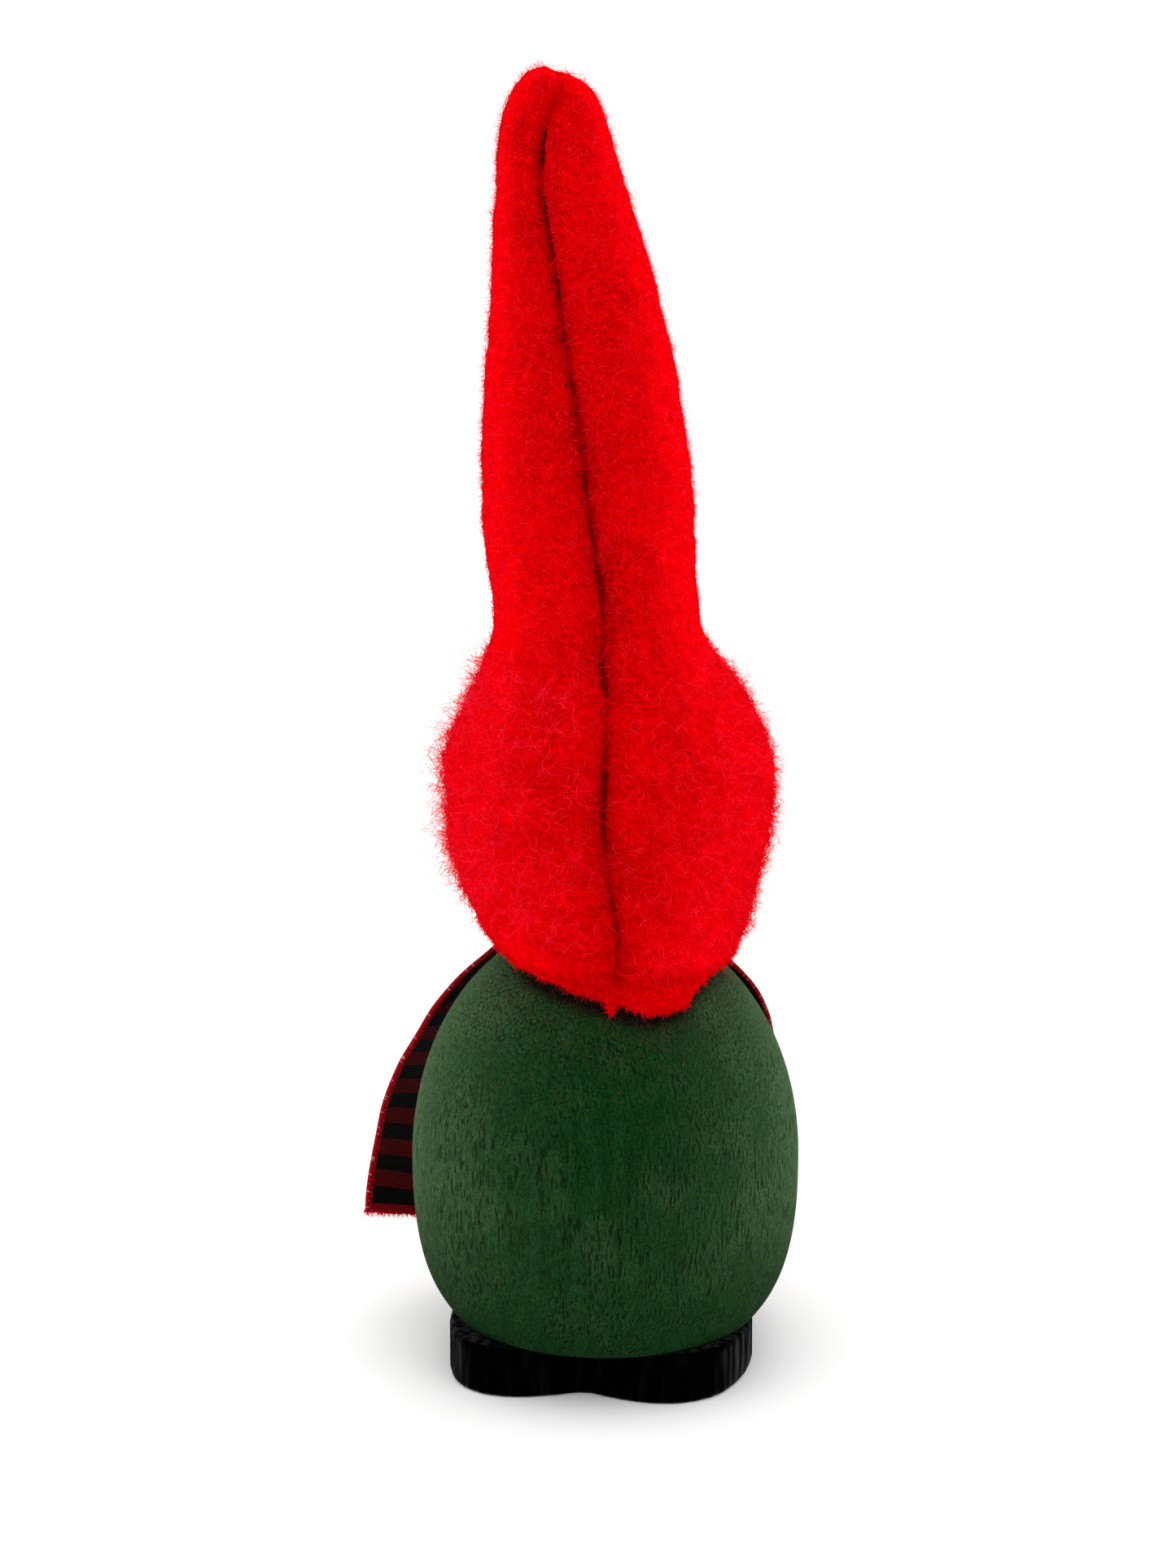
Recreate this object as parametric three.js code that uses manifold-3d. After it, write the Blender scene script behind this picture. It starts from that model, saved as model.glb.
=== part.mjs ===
// Tomte figurine: a turned wooden egg on a sawn pair of feet, a ball head under a tall felt
// hat with one seam down its back, a ball nose, a fleece beard and a ribbon scarf.
// Millimetres, +Z up. The figure looks along -Y, and its left hand is at +X.
// The origin is on the flat underside of the feet, on the egg's turning axis.
import * as THREE from "three";
import { mergeVertices } from "three/addons/utils/BufferGeometryUtils.js";
import Module from "manifold-3d";

const wasm = await Module();
wasm.setup();

// ---- Driving dimensions ----
const clearance = 0.3; // between faces that follow each other
const holePlay = 0.1; // radial, round a dowel or a peg

const feet = { thickness: 6.3, halfWidth: 18.8, heel: 17.2, toe: 30, edge: 0.7 };
const egg = {
  radius: 24.1,
  widestUp: 20.2, // from its cut bottom up to the widest place
  topRise: 30,
  bottomDrop: 25.5,
  fullness: 2.9,
  neckFlat: 5,
};
const head = { radius: 17, flat: 5 };
const nose = { radius: 5.5, below: 36, proud: 3.8 }; // below: degrees under the head's equator
const dowel = {
  base: 3,
  baseLength: 14,
  baseSpacing: 9,
  neck: 4,
  neckLength: 22,
  peg: 1.5,
  pegLength: 9,
};
const felt = 1.8;
const hat = {
  height: 102.5, // from the head's flat to the tip
  seamTurn: 100, // degrees from +X to the seam
  creaseDepth: 1.1,
  creaseWidth: 1.5,
  brimBack: 48.5,
  brimRise: 14.5,
  brimLow: 124, // degrees from +X to the brim's lowest place
  brimSweep: 1.5, // how far round the brim stays low before it rises over the nose
  bend: 11, // from the bend's pivot up to the waist where the peak starts
  tipLean: 6.1,
  tipForward: 3,
  threadRadius: 0.3,
};
const ribbon = {
  thickness: 0.8,
  halfWidth: 7,
  neckHalfWidth: 3.8,
  hingeGap: 0.5,
  hingeDown: 9.2, // from the head's flat down to where the tails swing
  napeHeight: 6.8,
  napeDown: 3.2, // from the head's flat down to the band's lower edge
};
const beard = { backing: 0.7, fleece: 5, edge: 1.3, topDown: 2.6, length: 31.7, neck: 12.2 };

// ---- Sizes that follow from them ----
const rad = THREE.MathUtils.degToRad;
const eggBase = feet.thickness;
const eggWidest = eggBase + egg.widestUp;
const eggTop = eggWidest + egg.topRise * Math.sqrt(1 - (egg.neckFlat / egg.radius) ** 2);
const headFloor = eggTop;
const headCentre = headFloor + Math.sqrt(head.radius ** 2 - head.flat ** 2);
const tip = headFloor + hat.height;
const headTop = headCentre + head.radius;
const waist = headTop + 5;
const napeLow = headFloor - ribbon.napeDown;
const napeHigh = napeLow + ribbon.napeHeight;
const napeRadius = Math.max(eggRadius(napeLow), headRadius(napeHigh)) + clearance;
const noseTurn = rad(nose.below);
const noseReach = head.radius + nose.proud;
const noseCentre = new THREE.Vector3(
  0, -noseReach * Math.cos(noseTurn), headCentre - noseReach * Math.sin(noseTurn));

// Radius of the egg at a height.
function eggRadius(z) {
  const up = z - eggWidest;
  if (up >= 0) return egg.radius * Math.sqrt(Math.max(0, 1 - (up / egg.topRise) ** 2));
  const n = egg.fullness;
  return egg.radius * Math.max(0, 1 - (-up / egg.bottomDrop) ** n) ** (1 / n);
}

// Radius of the head's ball at a height.
function headRadius(z) {
  return Math.sqrt(Math.max(0, head.radius ** 2 - (z - headCentre) ** 2));
}

// A smooth value through a short list of [position, value] pairs.
function smooth(pairs) {
  return (at) => {
    const last = pairs.length - 1;
    if (at <= pairs[0][0]) return pairs[0][1];
    if (at >= pairs[last][0]) return pairs[last][1];
    const i = pairs.findIndex((p) => p[0] > at) - 1;
    const [x1, y1] = pairs[i];
    const [x2, y2] = pairs[i + 1];
    const slope = (a, b) => (pairs[b][1] - pairs[a][1]) / (pairs[b][0] - pairs[a][0]);
    const m1 = i > 0 ? slope(i - 1, i + 1) : slope(i, i + 1);
    const m2 = i + 2 <= last ? slope(i, i + 2) : slope(i, i + 1);
    const h = x2 - x1;
    const t = (at - x1) / h;
    return (
      (2 * t ** 3 - 3 * t ** 2 + 1) * y1 + (t ** 3 - 2 * t ** 2 + t) * h * m1 +
      (3 * t ** 2 - 2 * t ** 3) * y2 + (t ** 3 - t ** 2) * h * m2);
  };
}

// ---- Solids ----
function solid(geometry, matrix = new THREE.Matrix4()) {
  const g = geometry.clone().applyMatrix4(matrix);
  const extra = Object.keys(g.attributes).filter((name) => name !== "position");
  for (const name of extra) g.deleteAttribute(name);
  const m = mergeVertices(g, 1e-4);
  return new wasm.Manifold(new wasm.Mesh({
    numProp: 3,
    vertProperties: new Float32Array(m.attributes.position.array),
    triVerts: new Uint32Array(m.index.array),
  }));
}

function geometryOf(made) {
  const m = made.getMesh();
  const points = new Float32Array(m.numVert * 3);
  for (let i = 0; i < m.numVert; i++)
    points.set(m.vertProperties.subarray(i * m.numProp, i * m.numProp + 3), i * 3);
  const g = new THREE.BufferGeometry();
  g.setAttribute("position", new THREE.BufferAttribute(points, 3));
  g.setIndex(new THREE.BufferAttribute(m.triVerts, 1));
  g.computeVertexNormals();
  return g;
}

const place = (x, y, z) => new THREE.Matrix4().makeTranslation(x, y, z);

// A rod along a direction, centred on a point.
function rod(radius, length, centre, direction = new THREE.Vector3(0, 0, 1), sides = 24) {
  const turn = new THREE.Quaternion().setFromUnitVectors(new THREE.Vector3(0, 1, 0), direction);
  const matrix = new THREE.Matrix4().compose(centre, turn, new THREE.Vector3(1, 1, 1));
  return solid(new THREE.CylinderGeometry(radius, radius, length, sides), matrix);
}

function ball(radius, centre, sides = 32) {
  const g = new THREE.SphereGeometry(radius, sides, sides / 2);
  return solid(g, new THREE.Matrix4().makeRotationX(Math.PI / 2).premultiply(place(...centre)));
}

// A closed skin over rows of points: each row is a ring, and both ends are closed by a fan.
function loft(rings) {
  const made = loftRows(rings);
  return made.volume() < 0 ? loftRows(rings.map((ring) => [...ring].reverse())) : made;
}

function loftRows(rings) {
  const n = rings[0].length;
  const middle = (ring) => ring.reduce((a, p) => a.add(p), new THREE.Vector3()).divideScalar(n);
  const points = [...rings.flat(), middle(rings[0]), middle(rings.at(-1))];
  const first = rings.length * n;
  const faces = [];
  for (let j = 0; j + 1 < rings.length; j++)
    for (let i = 0; i < n; i++) {
      const a = j * n + i;
      const b = j * n + ((i + 1) % n);
      faces.push(a, b, b + n, a, b + n, a + n);
    }
  const top = (rings.length - 1) * n;
  for (let i = 0; i < n; i++) {
    const k = (i + 1) % n;
    faces.push(first, k, i, first + 1, top + i, top + k);
  }
  return new wasm.Manifold(new wasm.Mesh({
    numProp: 3,
    vertProperties: new Float32Array(points.flatMap((p) => p.toArray())),
    triVerts: new Uint32Array(faces),
  }));
}

const group = new THREE.Group();
function add(name, made, colour, roughness) {
  const material = new THREE.MeshStandardMaterial({ color: colour, roughness, metalness: 0 });
  const mesh = new THREE.Mesh(geometryOf(made), material);
  mesh.name = name;
  group.add(mesh);
}

// ---- Feet: one plank sawn to two heels and two toes ----
function feetSolid() {
  const w = feet.halfWidth;
  const half = [
    [0, feet.heel - 2.8], [0.2 * w, feet.heel - 1.2], [0.44 * w, feet.heel],
    [0.66 * w, feet.heel - 0.6], [0.85 * w, feet.heel - 3.4], [0.96 * w, feet.heel - 8.4],
    [w, feet.heel - 15],
    [0.96 * w, -feet.toe * 0.16], [0.89 * w, -feet.toe * 0.42], [0.82 * w, -feet.toe * 0.68],
    [0.7 * w, -feet.toe * 0.9], [0.46 * w, -feet.toe], [0.22 * w, -feet.toe * 0.95],
    [0.06 * w, -feet.toe * 0.84], [0, -feet.toe * 0.77],
  ];
  const outline = [...half, ...half.slice(1, -1).reverse().map(([x, y]) => [-x, y])];
  const curve = new THREE.CatmullRomCurve3(outline.map(([x, y]) => new THREE.Vector3(x, y, 0)), true);
  const edge = curve.getPoints(64).slice(0, -1);
  const shape = new THREE.Shape(edge.map((p) => new THREE.Vector2(p.x, p.y)));
  const plank = new THREE.ExtrudeGeometry(shape, {
    depth: feet.thickness - 2 * feet.edge, bevelThickness: feet.edge, bevelSize: feet.edge,
    bevelOffset: -feet.edge, bevelSegments: 2,
  });
  return solid(plank, place(0, 0, feet.edge));
}

const baseDowels = { left: dowel.baseSpacing, right: -dowel.baseSpacing };
const baseDowelDepth = feet.thickness / 2; // how far a dowel reaches down into the feet
const baseDowelCentre = (x) => new THREE.Vector3(x, 0, eggBase - baseDowelDepth + dowel.baseLength / 2);

let feetMade = feetSolid();
let eggMade = eggSolid();
for (const [side, x] of Object.entries(baseDowels)) {
  const hole = rod(dowel.base + holePlay, dowel.baseLength + 2 * clearance, baseDowelCentre(x));
  feetMade = feetMade.subtract(hole);
  eggMade = eggMade.subtract(hole);
  add(`base_dowel_${side}`, rod(dowel.base, dowel.baseLength, baseDowelCentre(x)), 0xd9b98a, 0.7);
}
add("feet_base", feetMade, 0x0b0c0c, 0.55);

// ---- Body: a turned egg, cut flat to stand on the feet ----
function eggSolid() {
  const profile = [new THREE.Vector2(0, eggBase)];
  const steps = 20;
  for (let i = 0; i <= steps; i++) {
    // closer steps towards the neck, where the curve turns fastest
    const z = eggBase + (eggTop - eggBase) * Math.sin((i / steps) * Math.PI / 2);
    profile.push(new THREE.Vector2(eggRadius(z), z));
  }
  profile.push(new THREE.Vector2(0, eggTop));
  const lathe = new THREE.LatheGeometry(profile, 40);
  return solid(lathe, new THREE.Matrix4().makeRotationX(Math.PI / 2));
}

const neckCentre = new THREE.Vector3(0, 0, eggTop);
const neckHole = rod(dowel.neck + holePlay, dowel.neckLength + 2 * clearance, neckCentre);
add("body_egg", eggMade.subtract(neckHole), 0x1d4a20, 0.75);
add("neck_dowel", rod(dowel.neck, dowel.neckLength, neckCentre), 0xd9b98a, 0.7);

// ---- Head and nose ----
const noseWay = noseCentre.clone().sub(new THREE.Vector3(0, 0, headCentre)).normalize();
const pegCentre = noseCentre.clone().addScaledVector(noseWay, -nose.radius + 1);
const pegHole = rod(dowel.peg + holePlay, dowel.pegLength + 2 * clearance, pegCentre, noseWay, 16);
const belowHead = solid(new THREE.BoxGeometry(60, 60, 60), place(0, 0, headFloor - 30));
const headMade = ball(head.radius, [0, 0, headCentre], 36)
  .subtract(belowHead)
  .subtract(neckHole)
  .subtract(ball(nose.radius + clearance, noseCentre, 28))
  .subtract(pegHole);
add("head_ball", headMade, 0xd8bd92, 0.7);
add("nose", ball(nose.radius, noseCentre, 28).subtract(pegHole), 0xd2a679, 0.5);
add("nose_peg", rod(dowel.peg, dowel.pegLength, pegCentre, noseWay, 16), 0xd9b98a, 0.7);

// ---- Hat: a felt blank folded round and seamed, so it is one shell, parted where it bends ----
const leanWay = new THREE.Vector2(Math.cos(rad(hat.seamTurn - 90)), Math.sin(rad(hat.seamTurn - 90)));
const frontWay = new THREE.Vector2(-Math.cos(rad(hat.seamTurn)), -Math.sin(rad(hat.seamTurn)));
// It lies over the scarf at the neck and over the widest part of the head.
const overScarf = napeRadius + ribbon.thickness + clearance + felt;
const overHead = head.radius + clearance + felt;
const hatOutline = smooth([
  [headFloor - 5, overScarf], [headFloor - 2.8, overScarf], [headFloor + 3, overScarf + 1.9],
  [headCentre - 6, overHead], [headCentre, overHead + 0.4], [headCentre + 0.2 * head.radius, overHead + 0.5],
  [headCentre + 0.32 * head.radius, overHead], [headCentre + 0.5 * head.radius, overHead - 1.2],
  [headCentre + 0.68 * head.radius, overHead - 2.8], [headTop, 13.4],
  [waist, 12.1], [waist + 13, 12.2], [waist + 25, 11.3], [waist + 38, 9.3],
  [waist + 50, 7.1], [tip - 5.5, 5.5], [tip - 2, 3.9], [tip, 0.3],
]);
// Below the neck the felt lies on the egg's shoulder.
const hatDrape = (z) => (z < eggTop ? eggRadius(z) + felt + 2.5 * clearance : 0);
const hatHalfWidth = (z) => Math.max(hatOutline(z), hatDrape(z));
const hatLean = smooth([
  [headFloor, 0], [headCentre, -0.4], [headTop - 5, -0.1], [waist, 1.2], [waist + 25, 2.9],
  [waist + 45, 4.8], [waist + 56, hat.tipLean], [tip, hat.tipLean],
]);
const hatForward = smooth([[headTop - 5, 0], [waist + 30, 0.8], [tip, hat.tipForward]]);
const hatFlat = smooth([[headTop - 9, 1], [waist, 0.94], [waist + 45, 0.8], [tip, 0.76]]);
const seamSwing = smooth([
  [headFloor, 3], [headCentre, -2], [waist, 5], [waist + 28, -6], [waist + 49, -18], [tip, -8],
]);

function brimHeight(turn) {
  const share = (1 - Math.cos(rad(turn - hat.brimLow))) / 2;
  return hat.brimBack + hat.brimRise * share ** hat.brimSweep;
}

// A point of the hat's skin, sunk by a depth under the felt's outer face.
function hatPoint(turn, z, sunk = 0, crease = hat.creaseDepth) {
  const seam = hat.seamTurn + seamSwing(z);
  const off = THREE.MathUtils.euclideanModulo(turn - seam + 180, 360) - 180;
  const across = hatHalfWidth(z);
  const fade = Math.min(1, across / 8);
  const dent = crease * fade * Math.exp(-(((rad(off) * across) / hat.creaseWidth) ** 2));
  const reach = Math.max(0.15, across - sunk - dent);
  const round = rad(turn - hat.seamTurn);
  const along = reach * Math.cos(round) * hatFlat(z);
  const aside = reach * Math.sin(round);
  const shift = hatForward(z);
  return new THREE.Vector3(
    hatLean(z) * leanWay.x + shift * frontWay.x - along * frontWay.x - aside * leanWay.x,
    hatLean(z) * leanWay.y + shift * frontWay.y - along * frontWay.y - aside * leanWay.y,
    z);
}

// Degrees from the seam: close together beside it, where the felt turns in.
const fromSeam = [3.5, 7, 12, 22, 34, 46, 58, 70, 82, 94, 106, 118, 130, 142, 154, 166];
const hatColumns = [0, ...fromSeam, 180, ...fromSeam.map((t) => 360 - t).reverse()];
function hatSkin(from, to, rows, sunk, crease) {
  const rings = [];
  for (let j = 0; j <= rows; j++) {
    // rows lie closer at the brim and at the tip
    const share = 0.55 * (j / rows) + 0.225 * (1 - Math.cos((j / rows) * Math.PI));
    rings.push(hatColumns.map((column) => {
      const low = from(hat.seamTurn + column);
      const z = low + (to - low) * share;
      return hatPoint(hat.seamTurn + seamSwing(z) + column, z, sunk, crease);
    }));
  }
  return loft(rings);
}

const pivotHeight = waist - hat.bend;
const bendPivot = hatPoint(0, pivotHeight, hatHalfWidth(pivotHeight));
const splitRadius = Math.hypot(hatHalfWidth(waist), hat.bend);
const inside = hatSkin((turn) => brimHeight(turn) - 3, tip - felt * 1.2, 24, felt, 0);
const shell = hatSkin(brimHeight, tip, 28, 0, hat.creaseDepth).subtract(inside);
const bendCentre = [bendPivot.x, bendPivot.y, pivotHeight];
const nearWaist = waist - 4; // under this height all the felt belongs to the crown
const aboveBend = solid(new THREE.BoxGeometry(80, 80, 160), place(0, 0, nearWaist + 80));
const bendBall = ball(splitRadius, bendCentre, 36);
const bendBallWide = ball(splitRadius + clearance + 0.05, bendCentre, 36);
const crown = shell
  .subtract(aboveBend.subtract(bendBall))
  .subtract(ball(nose.radius + clearance, noseCentre, 28));
const peak = shell.intersect(aboveBend).subtract(bendBallWide);
add("hat_crown", crown, 0xd60a08, 0.95);
add("hat_peak", peak, 0xd60a08, 0.95);

// Wadding that keeps the peak round and upright.
const wadBottom = waist + 2;
const wadTop = waist + 52;
const wadding = hatSkin(() => wadBottom, wadTop, 12, felt + 0.9, 0).subtract(bendBallWide);
add("hat_wadding", wadding, 0xece8e0, 1);

// The sewing thread lies in the crease, in one length for each side of the bend.
function seamThread(from, to, steps) {
  const points = [];
  for (let i = 0; i <= steps; i++) {
    const z = from + ((to - from) * i) / steps;
    const stand = 1.5 * clearance + hat.threadRadius;
    points.push(hatPoint(hat.seamTurn + seamSwing(z), z, -stand));
  }
  const curve = new THREE.CatmullRomCurve3(points);
  const section = new THREE.Shape();
  section.absarc(0, 0, hat.threadRadius, 0, 2 * Math.PI);
  return solid(new THREE.ExtrudeGeometry(section, {
    extrudePath: curve, steps: steps * 2, curveSegments: 6, bevelEnabled: false,
  }));
}
add("seam_thread_peak", seamThread(waist + 2, tip - 7, 12), 0x7d0403, 0.9);
add("seam_thread_crown", seamThread(hat.brimBack + 6, waist - 3, 9), 0x7d0403, 0.9);

// ---- Scarf: one ribbon round the nape, over both shoulders and down in front ----
// Stations are [height, clear of the egg, turn in degrees from +X].
const tails = {
  left: {
    slant: 2.2, // the end's front corner hangs this much below its middle
    stations: [
      [eggTop - 2.4, 2.4, 344], [eggTop - 4.8, 1.4, 342], [eggTop - 7.4, 1.3, 340],
      [eggTop - 11.6, 1.4, 340], [eggTop - 16.3, 2, 340], [eggTop - 21.6, 3.6, 340],
      [eggTop - 26.9, 5.2, 340], [eggTop - 32.3, 6.5, 340], [eggTop - 43.4, 8.8, 340],
    ],
  },
  right: {
    slant: 0.6,
    stations: [
      [eggTop - 2.4, 2.4, 219], [eggTop - 4.8, 1.4, 220], [eggTop - 7.4, 1.4, 221.5],
      [eggTop - 11.6, 1.4, 226], [eggTop - 16.3, 1.4, 229.5], [eggTop - 21.6, 1.5, 231],
      [eggTop - 26.9, 1.5, 232], [eggTop - 32.3, 1.7, 233], [eggTop - 38.8, 2.2, 234],
    ],
  },
};
const hingeHeight = headFloor - ribbon.hingeDown;

function ribbonFrame(stations) {
  const list = [...stations].reverse();
  const clear = smooth(list.map(([z, c]) => [z, c]));
  const turn = smooth(list.map(([z, , t]) => [z, t]));
  const top = stations[0][0];
  const widen = smooth([[top - 12, ribbon.halfWidth], [top - 6, 5.9], [top, ribbon.neckHalfWidth]]);
  const centre = (z) => {
    const r = eggRadius(z) + clear(z);
    return new THREE.Vector3(r * Math.cos(rad(turn(z))), r * Math.sin(rad(turn(z))), z);
  };
  return (z) => {
    const step = 0.25;
    const across = new THREE.Vector3(-Math.sin(rad(turn(z))), Math.cos(rad(turn(z))), 0);
    const along = centre(z + step).sub(centre(z - step)).normalize();
    const out = across.clone().cross(along).normalize();
    return { centre: centre(z), across, along, out, half: widen(z) };
  };
}

function ribbonSolid(frameAt, top, bottom, trimTop, trimBottom, slant = 0) {
  const steps = Math.max(4, Math.round((top - bottom) / 2.4));
  const rings = [];
  for (let i = 0; i <= steps; i++) {
    const z = bottom + ((top - bottom) * i) / steps;
    const f = frameAt(z);
    const shift = i === 0 ? trimBottom : i === steps ? -trimTop : 0;
    const middle = f.centre.addScaledVector(f.along, shift);
    const drop = i === 0 ? slant : 0;
    const corner = (a, b) => middle.clone()
      .addScaledVector(f.across, a * f.half)
      .addScaledVector(f.along, a * drop)
      .addScaledVector(f.out, (b * ribbon.thickness) / 2);
    rings.push([corner(-1, -1), corner(-1, 1), corner(1, 1), corner(1, -1)]);
  }
  return loft(rings);
}

// Each shoulder piece starts where the ribbon comes out under the hat's brim.
const underBrim = hatSkin((turn) => brimHeight(turn) - clearance, waist, 16, -clearance, 0);
for (const [side, tail] of Object.entries(tails)) {
  const frameAt = ribbonFrame(tail.stations);
  const top = tail.stations[0][0];
  const bottom = tail.stations.at(-1)[0];
  const half = ribbon.hingeGap / 2;
  const shoulder = ribbonSolid(frameAt, top, hingeHeight, 0, half).subtract(underBrim);
  add(`scarf_shoulder_${side}`, shoulder, 0x8d0f12, 0.85);
  add(`scarf_tail_${side}`, ribbonSolid(frameAt, hingeHeight, bottom, half, 0, tail.slant), 0x8d0f12, 0.85);
}

// The ribbon is folded in half where it passes behind the neck.
function napeSolid() {
  const from = 6;
  const to = 198;
  const steps = 28;
  const inner = napeRadius;
  const outer = inner + ribbon.thickness;
  const rings = [];
  for (let i = 0; i <= steps; i++) {
    const turn = rad(from + ((to - from) * i) / steps);
    const at = (r, z) => new THREE.Vector3(r * Math.cos(turn), r * Math.sin(turn), z);
    rings.push([at(inner, napeLow), at(inner, napeHigh), at(outer, napeHigh), at(outer, napeLow)]);
  }
  return loft(rings);
}
add("scarf_nape_band", napeSolid(), 0x8d0f12, 0.85);

// ---- Beard: a fleece on a woven backing, held along its top edge ----
const beardTop = Math.min(headFloor - beard.topDown, noseCentre.z - nose.radius - 1);
const beardBottom = beardTop - beard.length;
const beardAt = (share) => beardBottom + beard.length * share;
const beardHalfWidth = smooth([
  [beardBottom, 1.4], [beardAt(0.11), 3.7], [beardAt(0.27), 5.8], [beardAt(0.46), 7.2],
  [beardAt(0.68), 7.6], [beardAt(0.87), 6.8], [beardTop, 4.4],
]);

function beardSolid(inner, outer) {
  const rows = 14;
  const columns = 10;
  const rings = [];
  for (let j = 0; j <= rows; j++) {
    const z = beardAt(j / rows);
    const base = Math.max(eggRadius(z) + 0.6, beard.neck);
    const spread = beardHalfWidth(z) / base;
    const at = (u, r) => {
      const turn = rad(270) + u * spread;
      return new THREE.Vector3(r * Math.cos(turn), r * Math.sin(turn), z);
    };
    const places = Array.from({ length: columns + 1 }, (_, i) => (2 * i) / columns - 1);
    const front = places.map((u) => at(u, base + outer(u, z)));
    const back = places.map((u) => at(u, base + inner)).reverse();
    rings.push([...front, ...back]);
  }
  return loft(rings);
}
const fleeceAt = smooth([
  [beardBottom, 1.6], [beardAt(0.27), 4.4], [beardAt(0.58), beard.fleece], [beardAt(0.84), 3.6],
  [beardTop, 1.4],
]);
const fleeceInner = beard.backing + clearance;
const fleeceDepth = (u, z) =>
  fleeceInner + beard.edge + (fleeceAt(z) - beard.edge * 0.5) * Math.sqrt(Math.max(0, 1 - u * u));
add("beard_backing", beardSolid(0, () => beard.backing), 0xe9e4d8, 0.95);
add("beard_fleece", beardSolid(fleeceInner, fleeceDepth), 0xf2efe8, 1);

export default group;
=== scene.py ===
# Tomte figurine: felt hat, painted wooden egg body, black feet, checked scarf, fleece beard.
# Metres, +Z up, the figure looks along -Y. Sizes in the dictionaries are millimetres and degrees.
import math
import random

import bpy
import numpy as np
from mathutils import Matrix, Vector, noise


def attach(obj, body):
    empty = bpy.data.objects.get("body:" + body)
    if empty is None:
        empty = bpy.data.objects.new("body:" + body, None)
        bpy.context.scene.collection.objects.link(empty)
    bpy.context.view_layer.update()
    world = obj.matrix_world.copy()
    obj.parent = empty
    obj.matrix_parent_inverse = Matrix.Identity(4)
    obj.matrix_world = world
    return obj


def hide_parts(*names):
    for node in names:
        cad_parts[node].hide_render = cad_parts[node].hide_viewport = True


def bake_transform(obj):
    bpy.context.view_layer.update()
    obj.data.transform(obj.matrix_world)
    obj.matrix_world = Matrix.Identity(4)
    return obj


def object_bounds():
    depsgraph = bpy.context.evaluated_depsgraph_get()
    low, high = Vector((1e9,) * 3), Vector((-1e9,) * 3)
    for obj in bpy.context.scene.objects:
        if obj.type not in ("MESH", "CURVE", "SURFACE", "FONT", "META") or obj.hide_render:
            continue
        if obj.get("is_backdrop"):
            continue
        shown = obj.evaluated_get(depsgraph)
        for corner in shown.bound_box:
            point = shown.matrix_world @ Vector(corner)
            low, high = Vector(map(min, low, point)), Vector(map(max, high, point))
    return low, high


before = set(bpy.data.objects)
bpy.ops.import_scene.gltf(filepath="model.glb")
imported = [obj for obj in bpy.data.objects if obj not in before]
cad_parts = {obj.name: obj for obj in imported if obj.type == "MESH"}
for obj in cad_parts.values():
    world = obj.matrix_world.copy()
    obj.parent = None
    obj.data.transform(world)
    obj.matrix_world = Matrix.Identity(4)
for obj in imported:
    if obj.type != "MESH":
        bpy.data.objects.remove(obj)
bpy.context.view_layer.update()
mm = 0.001


# small helpers
def smooth(pairs):  # a smooth curve through a few (place, value) pairs, held level past its ends
    xs = np.array([p[0] for p in pairs], float)
    ys = np.array([p[1] for p in pairs], float)
    m = np.empty_like(ys)
    m[1:-1] = (ys[2:] - ys[:-2]) / (xs[2:] - xs[:-2])
    m[0] = (ys[1] - ys[0]) / (xs[1] - xs[0])
    m[-1] = (ys[-1] - ys[-2]) / (xs[-1] - xs[-2])

    def at(x):
        x = np.clip(np.asarray(x, float), xs[0], xs[-1])
        i = np.clip(np.searchsorted(xs, x, side="right") - 1, 0, len(xs) - 2)
        h = xs[i + 1] - xs[i]
        t = (x - xs[i]) / h
        return ((2 * t**3 - 3 * t**2 + 1) * ys[i] + (t**3 - 2 * t**2 + t) * h * m[i]
                + (3 * t**2 - 2 * t**3) * ys[i + 1] + (t**3 - t**2) * h * m[i + 1])
    return at


def lumps(points, size, seed):  # smooth noise from about -1 to 1 at each point, points in mm
    shift = Vector((seed * 7.3, seed * 3.1, seed * 5.7))
    flat = np.asarray(points, float).reshape(-1, 3) / size
    values = [noise.noise(Vector(p) + shift) for p in flat]
    return np.array(values).reshape(np.asarray(points).shape[:-1])


def unit(ways):  # each vector brought to length 1
    return ways / np.maximum(np.linalg.norm(ways, axis=-1, keepdims=True), 1e-6)


def fullTurn(columns):  # evenly spaced degrees all the way round
    return np.arange(columns) * 360 / columns


def addObject(name, data):
    thing = bpy.data.objects.new(name, data)
    bpy.context.scene.collection.objects.link(thing)
    return thing


def addPiece(name, points, faces, material, uvs=None):  # points in mm
    mesh = bpy.data.meshes.new(name)
    mesh.from_pydata((np.asarray(points, float) * mm).tolist(), [], faces)
    mesh.polygons.foreach_set("use_smooth", [True] * len(mesh.polygons))
    if uvs is not None:
        layer = mesh.uv_layers.new(name="clothMap")
        index = np.zeros(len(mesh.loops), np.int32)
        mesh.loops.foreach_get("vertex_index", index)
        layer.data.foreach_set("uv", np.asarray(uvs, float)[index].ravel())
    mesh.materials.append(material)
    mesh.update()
    return addObject(name, mesh)


def gridFaces(rows, columns, start=0, inward=False):  # quads of a grid that closes on itself sideways
    i = np.arange(columns)
    k = (i + 1) % columns
    faces = np.vstack([
        np.stack([j * columns + i, j * columns + k, (j + 1) * columns + k, (j + 1) * columns + i], 1)
        for j in range(rows - 1)]) + start
    return (faces[:, ::-1] if inward else faces).tolist()


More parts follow.
